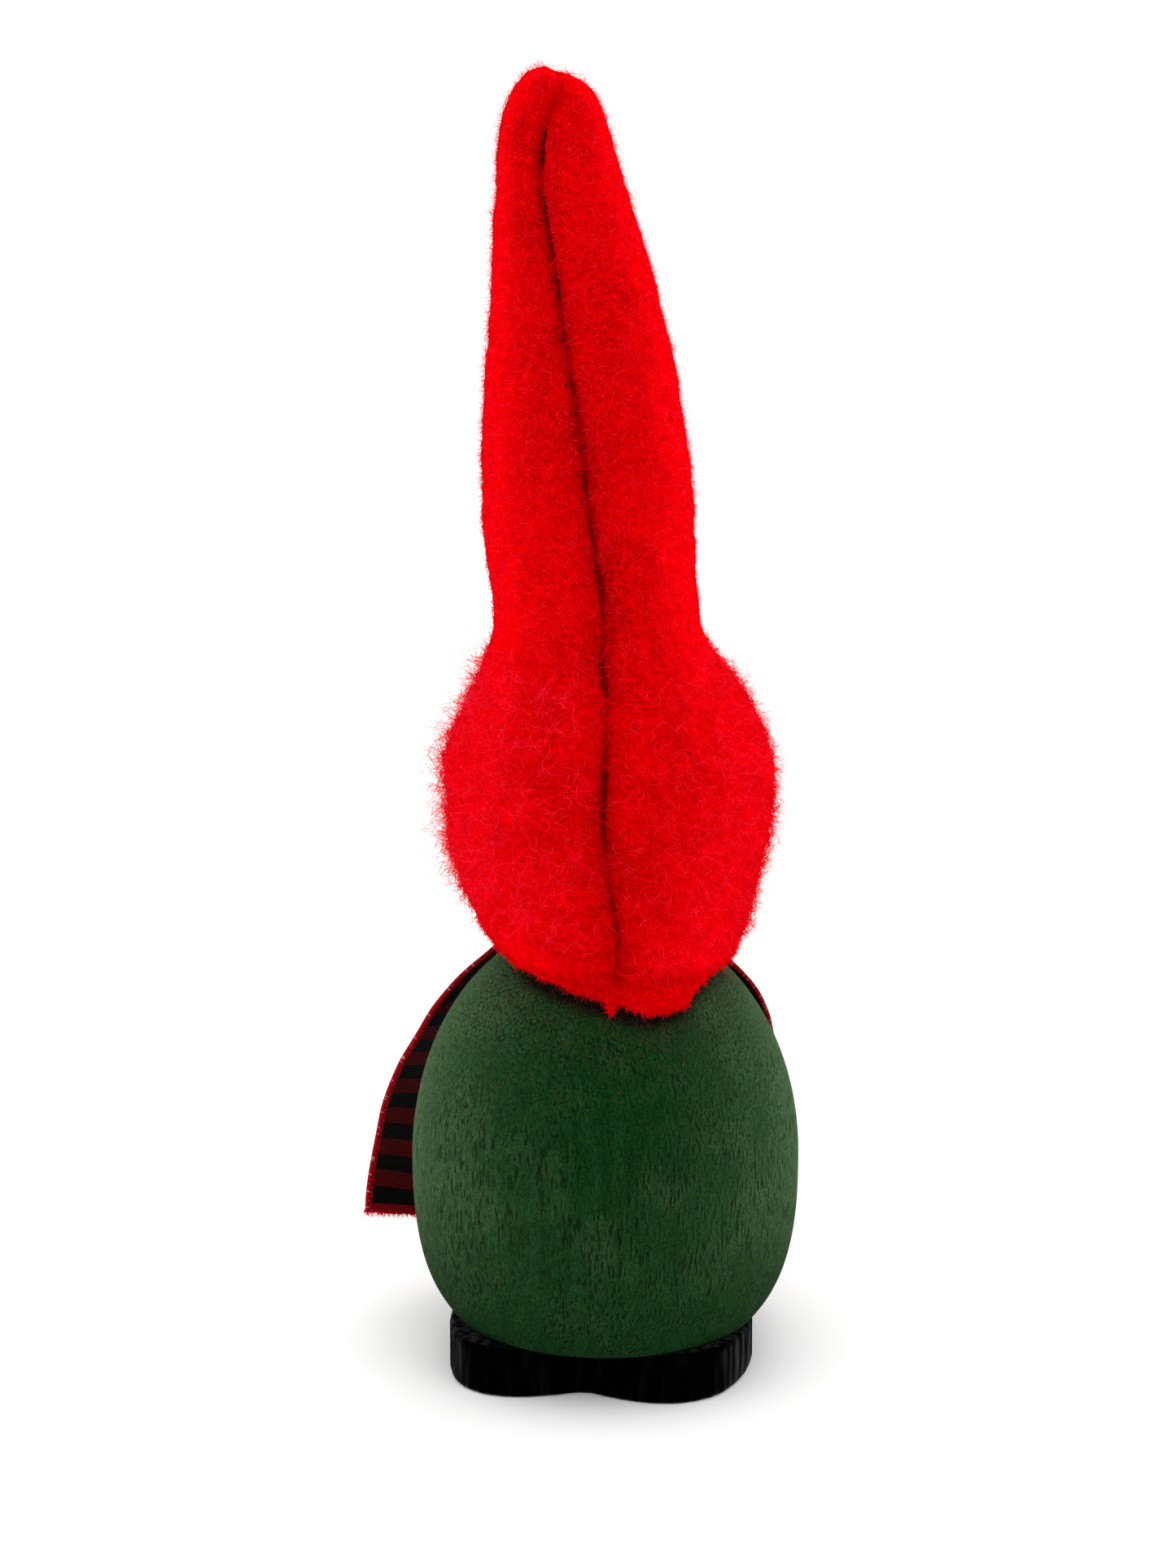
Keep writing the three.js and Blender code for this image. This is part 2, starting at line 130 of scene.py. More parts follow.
def turnedSkin(rings):  # rings (rows, columns, 3) from bottom to top, both ends closed by a fan
    rows, columns, _ = rings.shape
    points = np.vstack([rings.reshape(-1, 3), rings[0].mean(0), rings[-1].mean(0)])
    first, last, top = rows * columns, rows * columns + 1, (rows - 1) * columns
    faces = gridFaces(rows, columns)
    for a in range(columns):
        b = (a + 1) % columns
        faces.append([first, b, a])
        faces.append([last, top + a, top + b])
    return points, faces


def polar(radius, turn, z):  # turn in degrees from +X
    t = np.radians(turn)
    return np.stack(np.broadcast_arrays(radius * np.cos(t), radius * np.sin(t), z), -1)


# node helpers
def addNode(tree, kind, inputs=None, **settings):
    node = tree.nodes.new(kind)
    for key, value in settings.items():
        setattr(node, key, value)
    for key, value in (inputs or {}).items():
        socket = node.inputs[key]
        if isinstance(value, bpy.types.NodeSocket):
            tree.links.new(value, socket)
        else:
            socket.default_value = value
    return node


def maths(tree, operation, a, b=0.0, clamp=False):
    node = addNode(tree, "ShaderNodeMath", {0: a, 1: b}, operation=operation, use_clamp=clamp)
    return node.outputs[0]


def times(tree, a, b, clamp=False):
    return maths(tree, "MULTIPLY", a, b, clamp)


def minus(tree, a, b, clamp=False):
    return maths(tree, "SUBTRACT", a, b, clamp)


def remap(tree, value, low, high, toLow=0.0, toHigh=1.0):
    inputs = {"Value": value, "From Min": low, "From Max": high, "To Min": toLow, "To Max": toHigh}
    return addNode(tree, "ShaderNodeMapRange", inputs, interpolation_type="SMOOTHSTEP").outputs[0]


def mixColour(tree, share, a, b):
    node = addNode(tree, "ShaderNodeMix", data_type="RGBA")
    for index, value in ((0, share), (6, a), (7, b)):
        if isinstance(value, bpy.types.NodeSocket):
            tree.links.new(value, node.inputs[index])
        else:
            node.inputs[index].default_value = value if index == 0 else (*value, 1)
    return node.outputs[2]


def vectorMaths(tree, operation, a, b):  # b is a vector, or a number when a is scaled
    key = "Scale" if operation == "SCALE" else 1
    return addNode(tree, "ShaderNodeVectorMath", {0: a, key: b}, operation=operation).outputs[0]


def noiseAt(tree, place, scale, detail, **more):
    inputs = {"Vector": place, "Scale": scale, "Detail": detail, **more}
    return addNode(tree, "ShaderNodeTexNoise", inputs).outputs[0]


def attributeOf(tree, name):
    return addNode(tree, "ShaderNodeAttribute", attribute_name=name).outputs["Fac"]


def facingOf(tree):  # 0 where the surface is seen straight on, 1 at its rim
    return addNode(tree, "ShaderNodeLayerWeight", {"Blend": 0.5}).outputs["Facing"]


def newGroup(name, kind, inputs, outputs):
    group = bpy.data.node_groups.new(name, kind)
    for label, socketType, default in inputs:
        socket = group.interface.new_socket(label, in_out="INPUT", socket_type=socketType)
        if default is not None:
            socket.default_value = default
    for label, socketType in outputs:
        group.interface.new_socket(label, in_out="OUTPUT", socket_type=socketType)
    return group, group.nodes.new("NodeGroupInput").outputs, group.nodes.new("NodeGroupOutput").inputs


def newMaterial(name, **values):  # a material with its Principled sockets set, and its own tree
    material = bpy.data.materials.new(name)
    material.use_nodes = True
    tree = material.node_tree
    shader = next(n for n in tree.nodes if n.type == "BSDF_PRINCIPLED")
    for key, value in values.items():
        shader.inputs[key.replace("_", " ")].default_value = value
    return material, tree, shader


def bumpInto(tree, shader, height, distance, strength=1.0):
    inputs = {"Height": height, "Distance": distance * mm, "Strength": strength}
    bump = addNode(tree, "ShaderNodeBump", inputs)
    tree.links.new(bump.outputs[0], shader.inputs["Normal"])


def paint(tree, shader, base):
    tree.links.new(base, shader.inputs["Base Color"])


def placeOf(tree, stretch=(1, 1, 1), shift=(0, 0, 0)):  # Object coordinates in mm, centred and stretched
    source = addNode(tree, "ShaderNodeTexCoord").outputs["Object"]
    scale = tuple(s / mm for s in stretch)
    inputs = {"Vector": source, "Scale": scale, "Location": shift}
    return addNode(tree, "ShaderNodeMapping", inputs).outputs[0]


# effects that several materials share
vector, value = "NodeSocketVector", "NodeSocketFloat"

# Matted fibres: thin light lines that wander over the surface. Position is in mm.
mattedFibres, source, sink = newGroup("mattedFibres", "ShaderNodeTree", [
    ("Position", vector, None), ("Fibre Size", value, 1.4), ("Twist", value, 2.0), ("Sharpness", value, 9.0),
], [("Strands", value), ("Clouds", value)])
perMm = maths(mattedFibres, "DIVIDE", 1.0, source["Fibre Size"])
strands = None
for step, part in enumerate((1.0, 1.7, 2.6)):
    moved = vectorMaths(mattedFibres, "ADD", source["Position"], (step * 31.0, step * 17.0, 5.0))
    pace = times(mattedFibres, perMm, part)
    cloud = noiseAt(mattedFibres, moved, pace, 1.5, Distortion=source["Twist"])
    away = maths(mattedFibres, "ABSOLUTE", minus(mattedFibres, cloud, 0.5))
    faded = times(mattedFibres, away, source["Sharpness"])
    line = minus(mattedFibres, 1.0, faded, True)
    strands = line if strands is None else maths(mattedFibres, "MAXIMUM", strands, line)
mattedFibres.links.new(strands, sink["Strands"])
slowPace = times(mattedFibres, perMm, 0.22)
mattedFibres.links.new(noiseAt(mattedFibres, source["Position"], slowPace, 3.0), sink["Clouds"])

# Wood along Z: slow grain, and short open pores. Position is in mm.
woodFigure, source, sink = newGroup("woodFigure", "ShaderNodeTree", [
    ("Position", vector, None), ("Pore Width", value, 0.16), ("Pore Length", value, 2.2),
    ("Grain Width", value, 2.6),
], [("Grain", value), ("Pores", value), ("Mottle", value)])


def stretched(tree, width, length):  # Position squeezed so that noise features are width by length
    across = maths(tree, "DIVIDE", 1.0, width)
    along = maths(tree, "DIVIDE", 1.0, length)
    scale = addNode(tree, "ShaderNodeCombineXYZ", {"X": across, "Y": across, "Z": along}).outputs[0]
    return vectorMaths(tree, "MULTIPLY", source["Position"], scale)


porePlace = stretched(woodFigure, source["Pore Width"], source["Pore Length"])
pores = noiseAt(woodFigure, porePlace, 0.7, 1.0)
woodFigure.links.new(remap(woodFigure, pores, 0.53, 0.64), sink["Pores"])
grainLength = times(woodFigure, source["Grain Width"], 9.0)
grainPlace = stretched(woodFigure, source["Grain Width"], grainLength)
woodFigure.links.new(noiseAt(woodFigure, grainPlace, 1.0, 4.0), sink["Grain"])
mottle = noiseAt(woodFigure, source["Position"], 3.2, 3.0, Roughness=0.65)
woodFigure.links.new(mottle, sink["Mottle"])

# Plain weave: crossing threads from a flat position in mm.
plainWeave, source, sink = newGroup("plainWeave", "ShaderNodeTree", [
    ("Position", vector, None), ("Thread", value, 0.3),
], [("Height", value), ("Over", value)])
split = addNode(plainWeave, "ShaderNodeSeparateXYZ", {0: source["Position"]}).outputs
waves = []
for axis in (0, 1):
    phase = times(plainWeave, maths(plainWeave, "DIVIDE", split[axis], source["Thread"]), math.pi)
    waves.append(maths(plainWeave, "SINE", phase))
crossing = times(plainWeave, waves[0], waves[1])
plainWeave.links.new(maths(plainWeave, "ABSOLUTE", crossing), sink["Height"])
plainWeave.links.new(remap(plainWeave, crossing, -0.4, 0.4), sink["Over"])


def useGroup(tree, group, **values):
    node = addNode(tree, "ShaderNodeGroup", node_tree=group)
    for key, given in values.items():
        socket = node.inputs[key.replace("_", " ")]
        if isinstance(given, bpy.types.NodeSocket):
            tree.links.new(given, socket)
        else:
            socket.default_value = given
    return node.outputs


# materials
feltColours = {"deep": (0.42, 0.0, 0.0), "mid": (0.56, 0.0, 0.0001), "bright": (0.95, 0.0, 0.003)}
feltRed, tree, shader = newMaterial("feltRed", Roughness=1.0, Specular_IOR_Level=0.0)
fibres = useGroup(tree, mattedFibres, Position=placeOf(tree), Fibre_Size=1.5, Twist=1.6, Sharpness=8.0)
base = mixColour(tree, remap(tree, fibres["Clouds"], 0.35, 0.65), feltColours["deep"], feltColours["mid"])
lit = times(tree, fibres["Strands"], 0.3)
base = mixColour(tree, lit, base, feltColours["bright"])
# painted sheen: the felt turns brighter red towards its rims as the surface turns from view
aslant = facingOf(tree)
base = mixColour(tree, remap(tree, aslant, 0.05, 0.5), base, feltColours["bright"])
# painted shade: the felt darkens to deep red in the seam's crease and its stitch dimples
creaseShade = attributeOf(tree, "crease")
base = mixColour(tree, creaseShade, base, (0.15, 0.0, 0.0))
paint(tree, shader, base)
bumpInto(tree, shader, fibres["Strands"], 0.18, 0.8)


def hairMaterial(name, dark, light, glow, glowStrength):  # each fibre has its own tone between two colours
    material, tree, shader = newMaterial(name, Roughness=1.0, Specular_IOR_Level=0.0,
                                         Emission_Strength=glowStrength, Emission_Color=(*glow, 1))
    paint(tree, shader, mixColour(tree, attributeOf(tree, "tone"), dark, light))
    return material


# the glow is emission: painted light standing in for light let through thin fibres
fibreRed = hairMaterial("fibreRed", (0.62, 0.0, 0.0), (0.98, 0.001, 0.009), (1.0, 0.0, 0.004), 0.07)
haloRed = hairMaterial("haloRed", (0.9, 0.0, 0.004), (1.0, 0.02, 0.06), (1.0, 0.01, 0.04), 0.13)
fluffRed = hairMaterial("fluffRed", (0.030, 0.028, 0.014), (0.135, 0.045, 0.030), (1.0, 1.0, 1.0), 0.0)

threadRed, tree, shader = newMaterial("threadRed", Roughness=0.8, Specular_IOR_Level=0.1)
twist = noiseAt(tree, placeOf(tree), 4.0, 2.0)
paint(tree, shader, mixColour(tree, twist, (0.08, 0.0, 0.0), (0.22, 0.0, 0.002)))

bodyColours = {"deep": (0.0026, 0.0200, 0.0036), "paint": (0.0050, 0.0275, 0.0062),
               "rimSheen": (0.052, 0.104, 0.044), "tint": (0.016, 0.038, 0.012)}
bodyGreen, tree, shader = newMaterial("bodyGreen", Roughness=0.9, Specular_IOR_Level=0.02)
place = placeOf(tree)
wood = useGroup(tree, woodFigure, Position=place, Pore_Width=0.24, Pore_Length=1.2, Grain_Width=1.2)
beside = vectorMaths(tree, "ADD", place, (0.16, 0.1, 0.12))
lighter = useGroup(tree, woodFigure, Position=beside, Pore_Width=0.24, Pore_Length=1.2, Grain_Width=1.2)
patches = noiseAt(tree, place, 0.13, 3.0)
base = mixColour(tree, remap(tree, wood["Grain"], 0.3, 0.7), bodyColours["deep"], bodyColours["paint"])
base = mixColour(tree, remap(tree, patches, 0.5, 0.68, 0.0, 0.35), base, bodyColours["tint"])
# painted sheen: the paint turns lighter towards its rims as the surface turns from view, faded towards the
# bottom as painted shade
aslant = facingOf(tree)
high = addNode(tree, "ShaderNodeSeparateXYZ", {0: place}).outputs["Z"]
rimSheenShare = maths(tree, "POWER", aslant, remap(tree, patches, 0.35, 0.65, 1.35, 1.0))
rimSheenShare = times(tree, rimSheenShare, remap(tree, high, 7.0, 28.0, 0.05, 1.15), True)
base = mixColour(tree, rimSheenShare, base, bodyColours["rimSheen"])
strokes = times(tree, remap(tree, patches, 0.4, 0.55, 0.35, 1.0), 0.62)
dark = minus(tree, 1.0, times(tree, wood["Pores"], strokes))
light = times(tree, lighter["Pores"], 0.4)
fine = times(tree, minus(tree, wood["Mottle"], 0.5), 2.6)
tones = times(tree, dark, maths(tree, "ADD", maths(tree, "ADD", 1.0, light), fine))
base = vectorMaths(tree, "SCALE", base, tones)
# painted shade: the paint darkens close under the hat's brim
brimShade = attributeOf(tree, "underBrim")
base = mixColour(tree, brimShade, base, (0.005, 0.003, 0.0015))
paint(tree, shader, base)
relief = minus(tree, wood["Mottle"], wood["Pores"])
bumpInto(tree, shader, relief, 0.1, 0.8)

feetBlack, tree, shader = newMaterial("feetBlack", Roughness=0.85, Specular_IOR_Level=0.0)
wood = useGroup(tree, woodFigure, Position=placeOf(tree), Pore_Width=0.5, Pore_Length=9.0, Grain_Width=0.9)
streaks = remap(tree, wood["Grain"], 0.5, 0.75)
base = mixColour(tree, streaks, (0.0003, 0.0004, 0.0004), (0.002, 0.0023, 0.0023))
# painted sheen: the black turns grey towards the rims as the surface turns from view, broken up along the
# grain
aslant = facingOf(tree)
feetRimSheen = times(tree, remap(tree, aslant, 0.3, 0.9), remap(tree, wood["Grain"], 0.4, 0.62, 0.1, 1.0))
base = mixColour(tree, feetRimSheen, base, (0.040, 0.041, 0.043))
paint(tree, shader, base)
bumpInto(tree, shader, wood["Grain"], 0.12, 0.5)

woods = {
    "bareWood": {"pores": (0.15, 2.5, 1.6), "light": (0.74, 0.52, 0.30), "dark": (0.58, 0.37, 0.19),
                 "pore": (0.33, 0.19, 0.09), "poreShare": 0.4, "relief": ("Pores", -0.4),
                 "looks": {"Roughness": 0.6, "Specular_IOR_Level": 0.3}},
    "noseWood": {"pores": (0.12, 1.6, 1.1), "light": (0.75, 0.46, 0.27), "dark": (0.60, 0.33, 0.17),
                 "pore": (0.36, 0.17, 0.08), "poreShare": 0.35, "relief": ("Grain", 0.3),
                 "looks": {"Roughness": 0.4, "Coat_Weight": 0.25, "Coat_Roughness": 0.25}},
}


def paleWood(name):  # unpainted wood: light and dark grain with darker open pores
    looks, (width, length, grain) = woods[name], woods[name]["pores"]
    material, tree, shader = newMaterial(name, **looks["looks"])
    wood = useGroup(tree, woodFigure, Position=placeOf(tree), Pore_Width=width, Pore_Length=length,
                    Grain_Width=grain)
    base = mixColour(tree, remap(tree, wood["Grain"], 0.3, 0.7), looks["light"], looks["dark"])
    base = mixColour(tree, times(tree, wood["Pores"], looks["poreShare"]), base, looks["pore"])
    paint(tree, shader, base)
    bumpInto(tree, shader, wood[looks["relief"][0]], 0.05, looks["relief"][1])
    return material


bareWood, noseWood = paleWood("bareWood"), paleWood("noseWood")

fleeceWhite, tree, shader = newMaterial("fleeceWhite", Roughness=0.95, Specular_IOR_Level=0.1,
                                        Sheen_Weight=0.3)
tone = attributeOf(tree, "tone")
fibres = useGroup(tree, mattedFibres, Position=placeOf(tree), Fibre_Size=2.0, Twist=1.0, Sharpness=6.0)
base = mixColour(tree, tone, (0.82, 0.79, 0.72), (0.97, 0.96, 0.93))
base = mixColour(tree, times(tree, fibres["Strands"], 0.3), base, (0.98, 0.97, 0.94))
paint(tree, shader, base)
bumpInto(tree, shader, fibres["Strands"], 0.15, 0.5)

backingCloth, tree, shader = newMaterial("backingCloth", Roughness=0.95, Specular_IOR_Level=0.1)
weave = useGroup(tree, plainWeave, Position=placeOf(tree), Thread=0.6)
# painted shade: the cloth is darker where the weave's threads sink
paint(tree, shader, mixColour(tree, weave["Height"], (0.5, 0.47, 0.4), (0.8, 0.77, 0.69)))
bumpInto(tree, shader, weave["Height"], 0.2, 0.7)

ribbonCheck = {"width": 14.0, "selvage": 1.0, "check": 4.55, "firstBar": 1.0, "endBand": 1.25, "thread": 0.32,
               "mapSpan": 60.0}
checkedCloth, tree, shader = newMaterial("checkedCloth", Roughness=0.85, Specular_IOR_Level=0.03)
flatPlace = addNode(tree, "ShaderNodeUVMap", uv_map="clothMap").outputs[0]
span = ribbonCheck["mapSpan"]
flatPlace = addNode(tree, "ShaderNodeMapping", {"Vector": flatPlace, "Scale": (span, span, span)}).outputs[0]
split = addNode(tree, "ShaderNodeSeparateXYZ", {0: flatPlace}).outputs
fromMiddle = maths(tree, "ABSOLUTE", minus(tree, split[0], ribbonCheck["width"] / 2))
selvageAt = ribbonCheck["width"] / 2 - ribbonCheck["selvage"]
selvage = remap(tree, fromMiddle, selvageAt - 0.12, selvageAt + 0.12)
fromBar = maths(tree, "ADD", split[1], ribbonCheck["firstBar"])
wave = maths(tree, "SINE", times(tree, fromBar, 2 * math.pi / ribbonCheck["check"]))
weftRed = remap(tree, wave, -0.2, 0.2)
endBand = remap(tree, split[1], ribbonCheck["endBand"] - 0.15, ribbonCheck["endBand"] + 0.15, 1.0, 0.0)
weave = useGroup(tree, plainWeave, Position=flatPlace, Thread=ribbonCheck["thread"])
redShare = times(tree, weftRed, 0.5)
hem = maths(tree, "MAXIMUM", selvage, times(tree, endBand, 0.95))
redShare = maths(tree, "MAXIMUM", redShare, hem)
half = remap(tree, redShare, 0.0, 0.5)
full = remap(tree, redShare, 0.55, 1.0)
cloth = mixColour(tree, half, (0.0008, 0.0005, 0.0005), (0.170, 0.0004, 0.0014))
cloth = mixColour(tree, full, cloth, (0.46, 0.0015, 0.006))
shaded = times(tree, minus(tree, 1.0, weave["Height"]), 0.55)
cloth = mixColour(tree, shaded, cloth, (0.004, 0.001, 0.001))
specks = noiseAt(tree, flatPlace, 3.6, 0.0)
glint = times(tree, remap(tree, specks, 0.68, 0.74), selvage)
cloth = mixColour(tree, times(tree, glint, 0.4), cloth, (0.95, 0.35, 0.37))
paint(tree, shader, cloth)
bumpInto(tree, shader, weave["Height"], 0.12, 0.8)
print("materials made")


# fibres: one tree for fuzz, fraying threads and fleece
shape, count, dye = "NodeSocketGeometry", "NodeSocketInt", "NodeSocketMaterial"
fibreInputs = [
    ("Geometry", shape, None), ("Fibres per mm2", value, 1.0), ("Length", value, 1.0),
    ("Unevenness", value, 0.5), ("Thickness", value, 0.05), ("Lean From", value, 0.0),
    ("Lean To", value, 60.0), ("Droop", value, 0.0), ("Curl", value, 0.3), ("Curl Size", value, 0.8),
    ("Steps", count, 5), ("Where", "NodeSocketString", "fuzz"), ("Seed", count, 1), ("Finish", dye, None)]


def endTree(tree, made, given, out):  # a tree's last nodes: real meshes with their material
    real = addNode(tree, "GeometryNodeRealizeInstances", {0: made})
    inputs = {"Geometry": real.outputs[0], "Material": given["Finish"]}
    tree.links.new(addNode(tree, "GeometryNodeSetMaterial", inputs).outputs[0], out[0])


def fibreTree():
    tree, given, out = newGroup("fibreTree", "GeometryNodeTree", fibreInputs, [("Geometry", shape)])

    def randomBetween(low, high, seedShift):
        seed = maths(tree, "ADD", given["Seed"], seedShift)
        node = addNode(tree, "FunctionNodeRandomValue", {2: low, 3: high, 8: seed}, data_type="FLOAT")
        return node.outputs[1]

    named = addNode(tree, "GeometryNodeInputNamedAttribute", {"Name": given["Where"]}, data_type="FLOAT")
    where = named.outputs[0]
    perM2 = times(tree, given["Fibres per mm2"], 1e6)
    scatter = addNode(tree, "GeometryNodeDistributePointsOnFaces", {
        "Mesh": given["Geometry"], "Density": times(tree, perM2, where), "Seed": given["Seed"]})
    toned = addNode(tree, "GeometryNodeStoreNamedAttribute", {
        "Geometry": scatter.outputs["Points"], "Name": "tone", "Value": randomBetween(0.0, 1.0, 11.0)},
        data_type="FLOAT", domain="POINT")
    down = vectorMaths(tree, "SCALE", (0.0, 0.0, -1.0), given["Droop"])
    way = vectorMaths(tree, "ADD", scatter.outputs["Normal"], down)
    upright = addNode(tree, "FunctionNodeAlignRotationToVector", {"Vector": way}, axis="Z")
    lean = maths(tree, "RADIANS", randomBetween(given["Lean From"], given["Lean To"], 23.0))
    spin = randomBetween(0.0, 2 * math.pi, 37.0)
    euler = addNode(tree, "ShaderNodeCombineXYZ", {"X": lean, "Z": spin})
    tilt = addNode(tree, "FunctionNodeEulerToRotation", {0: euler.outputs[0]})
    turned = addNode(tree, "FunctionNodeRotateRotation", {0: upright.outputs[0], 1: tilt.outputs[0]},
                     rotation_space="LOCAL")
    least = times(tree, given["Length"], minus(tree, 1.0, given["Unevenness"]))
    most = times(tree, given["Length"], maths(tree, "ADD", 1.0, given["Unevenness"]))
    long = times(tree, randomBetween(least, most, 5.0), mm)
    line = addNode(tree, "GeometryNodeCurvePrimitiveLine", {"End": (0.0, 0.0, 1.0)})
    steps = addNode(tree, "GeometryNodeResampleCurve", {"Curve": line.outputs[0], "Count": given["Steps"]})
    planted = addNode(tree, "GeometryNodeInstanceOnPoints", {
        "Points": toned.outputs[0], "Instance": steps.outputs[0], "Rotation": turned.outputs[0],
        "Scale": long})
    loose = addNode(tree, "GeometryNodeRealizeInstances", {0: planted.outputs[0]})
    along = addNode(tree, "GeometryNodeSplineParameter").outputs["Factor"]
    place = addNode(tree, "GeometryNodeInputPosition").outputs[0]
    perCurl = maths(tree, "DIVIDE", 1.0 / mm, given["Curl Size"])
    wander = addNode(tree, "ShaderNodeTexNoise", {
        "Vector": place, "W": times(tree, given["Seed"], 3.7), "Scale": perCurl, "Detail": 1.0},
        noise_dimensions="4D").outputs[1]
    centred = vectorMaths(tree, "SUBTRACT", wander, (0.5, 0.5, 0.5))
    reach = times(tree, times(tree, given["Curl"], 4 * mm), along)
    offset = vectorMaths(tree, "SCALE", centred, reach)
    curled = addNode(tree, "GeometryNodeSetPosition", {"Geometry": loose.outputs[0], "Offset": offset})
    taper = remap(tree, along, 0.3, 1.0, 1.0, 0.35)
    thin = addNode(tree, "GeometryNodeSetCurveRadius", {"Curve": curled.outputs[0], "Radius": taper})
    radius = times(tree, given["Thickness"], mm / 2)
    ring = addNode(tree, "GeometryNodeCurvePrimitiveCircle", {"Resolution": 3, "Radius": radius})
    tube = addNode(tree, "GeometryNodeCurveToMesh", {
        "Curve": thin.outputs[0], "Profile Curve": ring.outputs[0], "Fill Caps": True})
    if "Scale" in tube.inputs:
        tree.links.new(taper, tube.inputs["Scale"])
    endTree(tree, tube.outputs[0], given, out)
    return tree


fibreMaker = fibreTree()


def runTree(name, base, maker, settings):  # base through a node tree, taken as a plain mesh
    modifier = base.modifiers.new("maker", "NODES")
    modifier.node_group = maker
    sockets = {s.name: s.identifier for s in maker.interface.items_tree if s.in_out == "INPUT"}
    for key, given in settings.items():
        modifier[sockets[key]] = given
    seen = base.evaluated_get(bpy.context.evaluated_depsgraph_get())
    mesh = bpy.data.meshes.new_from_object(seen)
    base.modifiers.remove(modifier)
    mesh.name = name
    return addObject(name, mesh)


def setWhere(piece, name, values):  # a share from 0 to 1 at each point, read by the fibre tree
    attribute = piece.data.attributes.new(name, "FLOAT", "POINT")
    attribute.data.foreach_set("value", np.asarray(values, np.float32))


# the turned body
egg = {"base": 6.3, "widest": 26.5, "radius": 24.1, "rise": 30.0, "drop": 25.5, "fullness": 2.9, "top": 55.8,
       "columns": 224, "rows": 150, "unevenness": 0.06}


def eggRadius(z):
    up = np.asarray(z, float) - egg["widest"]
    above = np.sqrt(np.clip(1 - (up / egg["rise"]) ** 2, 0, 1))
    below = np.clip(1 - np.clip(-up / egg["drop"], 0, 1) ** egg["fullness"], 0, 1) ** (1 / egg["fullness"])
    return egg["radius"] * np.where(up >= 0, above, below)


turns = fullTurn(egg["columns"])
share = np.linspace(0, 1, egg["rows"])
heights = egg["base"] + (egg["top"] - egg["base"]) * (0.45 * share + 0.275 * (1 - np.cos(share * math.pi)))
rings = polar(eggRadius(heights)[:, None], turns[None, :], heights[:, None])
swell = 1 + egg["unevenness"] * lumps(rings, 9.0, 1)[..., None] / egg["radius"]
rings[..., :2] *= swell
softEdge = polar(eggRadius(egg["base"]) - 0.5, turns, np.full(len(turns), egg["base"] + 0.02))
rings[0, :, 2] += 0.35
points, faces = turnedSkin(np.concatenate([softEdge[None], rings]))
bodyEgg = addPiece("woodenBody", points, faces, bodyGreen)
eggPoints = points
print("body turned")

# the sawn feet
feet = {"half": 18.8, "heel": 17.2, "toe": 30.0, "thick": 6.3, "edge": 0.7, "skew": 0.06, "columns": 260}
w, heel, toe = feet["half"], feet["heel"], feet["toe"]
side = [(0, heel - 2.3), (0.2 * w, heel - 1.0), (0.44 * w, heel), (0.66 * w, heel - 0.6),
        (0.85 * w, heel - 3.4), (0.96 * w, heel - 8.4), (w, heel - 15), (0.96 * w, -0.16 * toe),
        (0.89 * w, -0.42 * toe),
        (0.82 * w, -0.68 * toe), (0.7 * w, -0.9 * toe), (0.46 * w, -toe), (0.22 * w, -0.95 * toe),
        (0.06 * w, -0.84 * toe), (0, -0.77 * toe)]
outline = side + [(-x, y) for x, y in side[-2:0:-1]]
outline = [(x, y + feet["skew"] * x * max(0, y) / heel) for x, y in outline]
closed = outline[-2:] + outline + outline[:3]
walked = [0.0]
for a, b in zip(closed, closed[1:]):
    walked.append(walked[-1] + math.dist(a, b))
alongX = smooth([(s, p[0]) for s, p in zip(walked, closed)])
alongY = smooth([(s, p[1]) for s, p in zip(walked, closed)])
places = np.linspace(walked[2], walked[2 + len(outline)], feet["columns"], endpoint=False)
edgeLine = np.stack([alongX(places), alongY(places)], -1)
ahead = np.roll(edgeLine, -1, 0) - np.roll(edgeLine, 1, 0)
outward = unit(np.stack([ahead[:, 1], -ahead[:, 0]], -1))
if (outward * edgeLine).sum() < 0:
    outward = -outward
levels = [(0.0, -3.0)]
for a in np.linspace(0, math.pi / 2, 6):
    levels.append((feet["edge"] * (1 - math.cos(a)), feet["edge"] * (math.sin(a) - 1)))
for z in np.linspace(feet["edge"], feet["thick"] - feet["edge"], 12)[1:-1]:
    levels.append((z, 0.0))
for a in np.linspace(0, math.pi / 2, 6):
    levels.append((feet["thick"] - feet["edge"] * (1 - math.sin(a)), feet["edge"] * (math.cos(a) - 1)))
levels.append((feet["thick"], -3.0))
rings = np.array([[(*(p + n * inset), z) for p, n in zip(edgeLine, outward)] for z, inset in levels])
sawn = lumps(rings * (1, 1, 0.05), 1.3, 4) * 0.07  # the saw's marks run from top to bottom of the edge
inside = np.array([0 if abs(inset) < 0.69 else 1 for _, inset in levels])
rings[..., :2] += (outward[None] * (sawn * (1 - inside)[:, None])[..., None])
points, faces = turnedSkin(rings if (np.cross(edgeLine[0], edgeLine[1]) > 0) else rings[:, ::-1])
plank = addPiece("feetPlank", points, faces, feetBlack)
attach(plank, "figure")
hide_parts("feet_base")
print("feet sawn")

# head and nose
head = {"radius": 17.0, "centre": 72.1, "floor": 55.85, "columns": 128, "rows": 90}
top = math.pi / 2 * 0.985
bottom = -math.asin((head["centre"] - head["floor"]) / head["radius"])
angles = np.linspace(bottom, top, head["rows"])
turns = fullTurn(head["columns"])
rings = polar((head["radius"] * np.cos(angles))[:, None], turns[None, :],
              (head["centre"] + head["radius"] * np.sin(angles))[:, None])
rings[..., :2] *= 1 + 0.04 * lumps(rings, 7.0, 2)[..., None] / head["radius"]
points, faces = turnedSkin(rings)
headBall = addPiece("headBall", points, faces, bareWood)
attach(headBall, "figure")
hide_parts("head_ball")

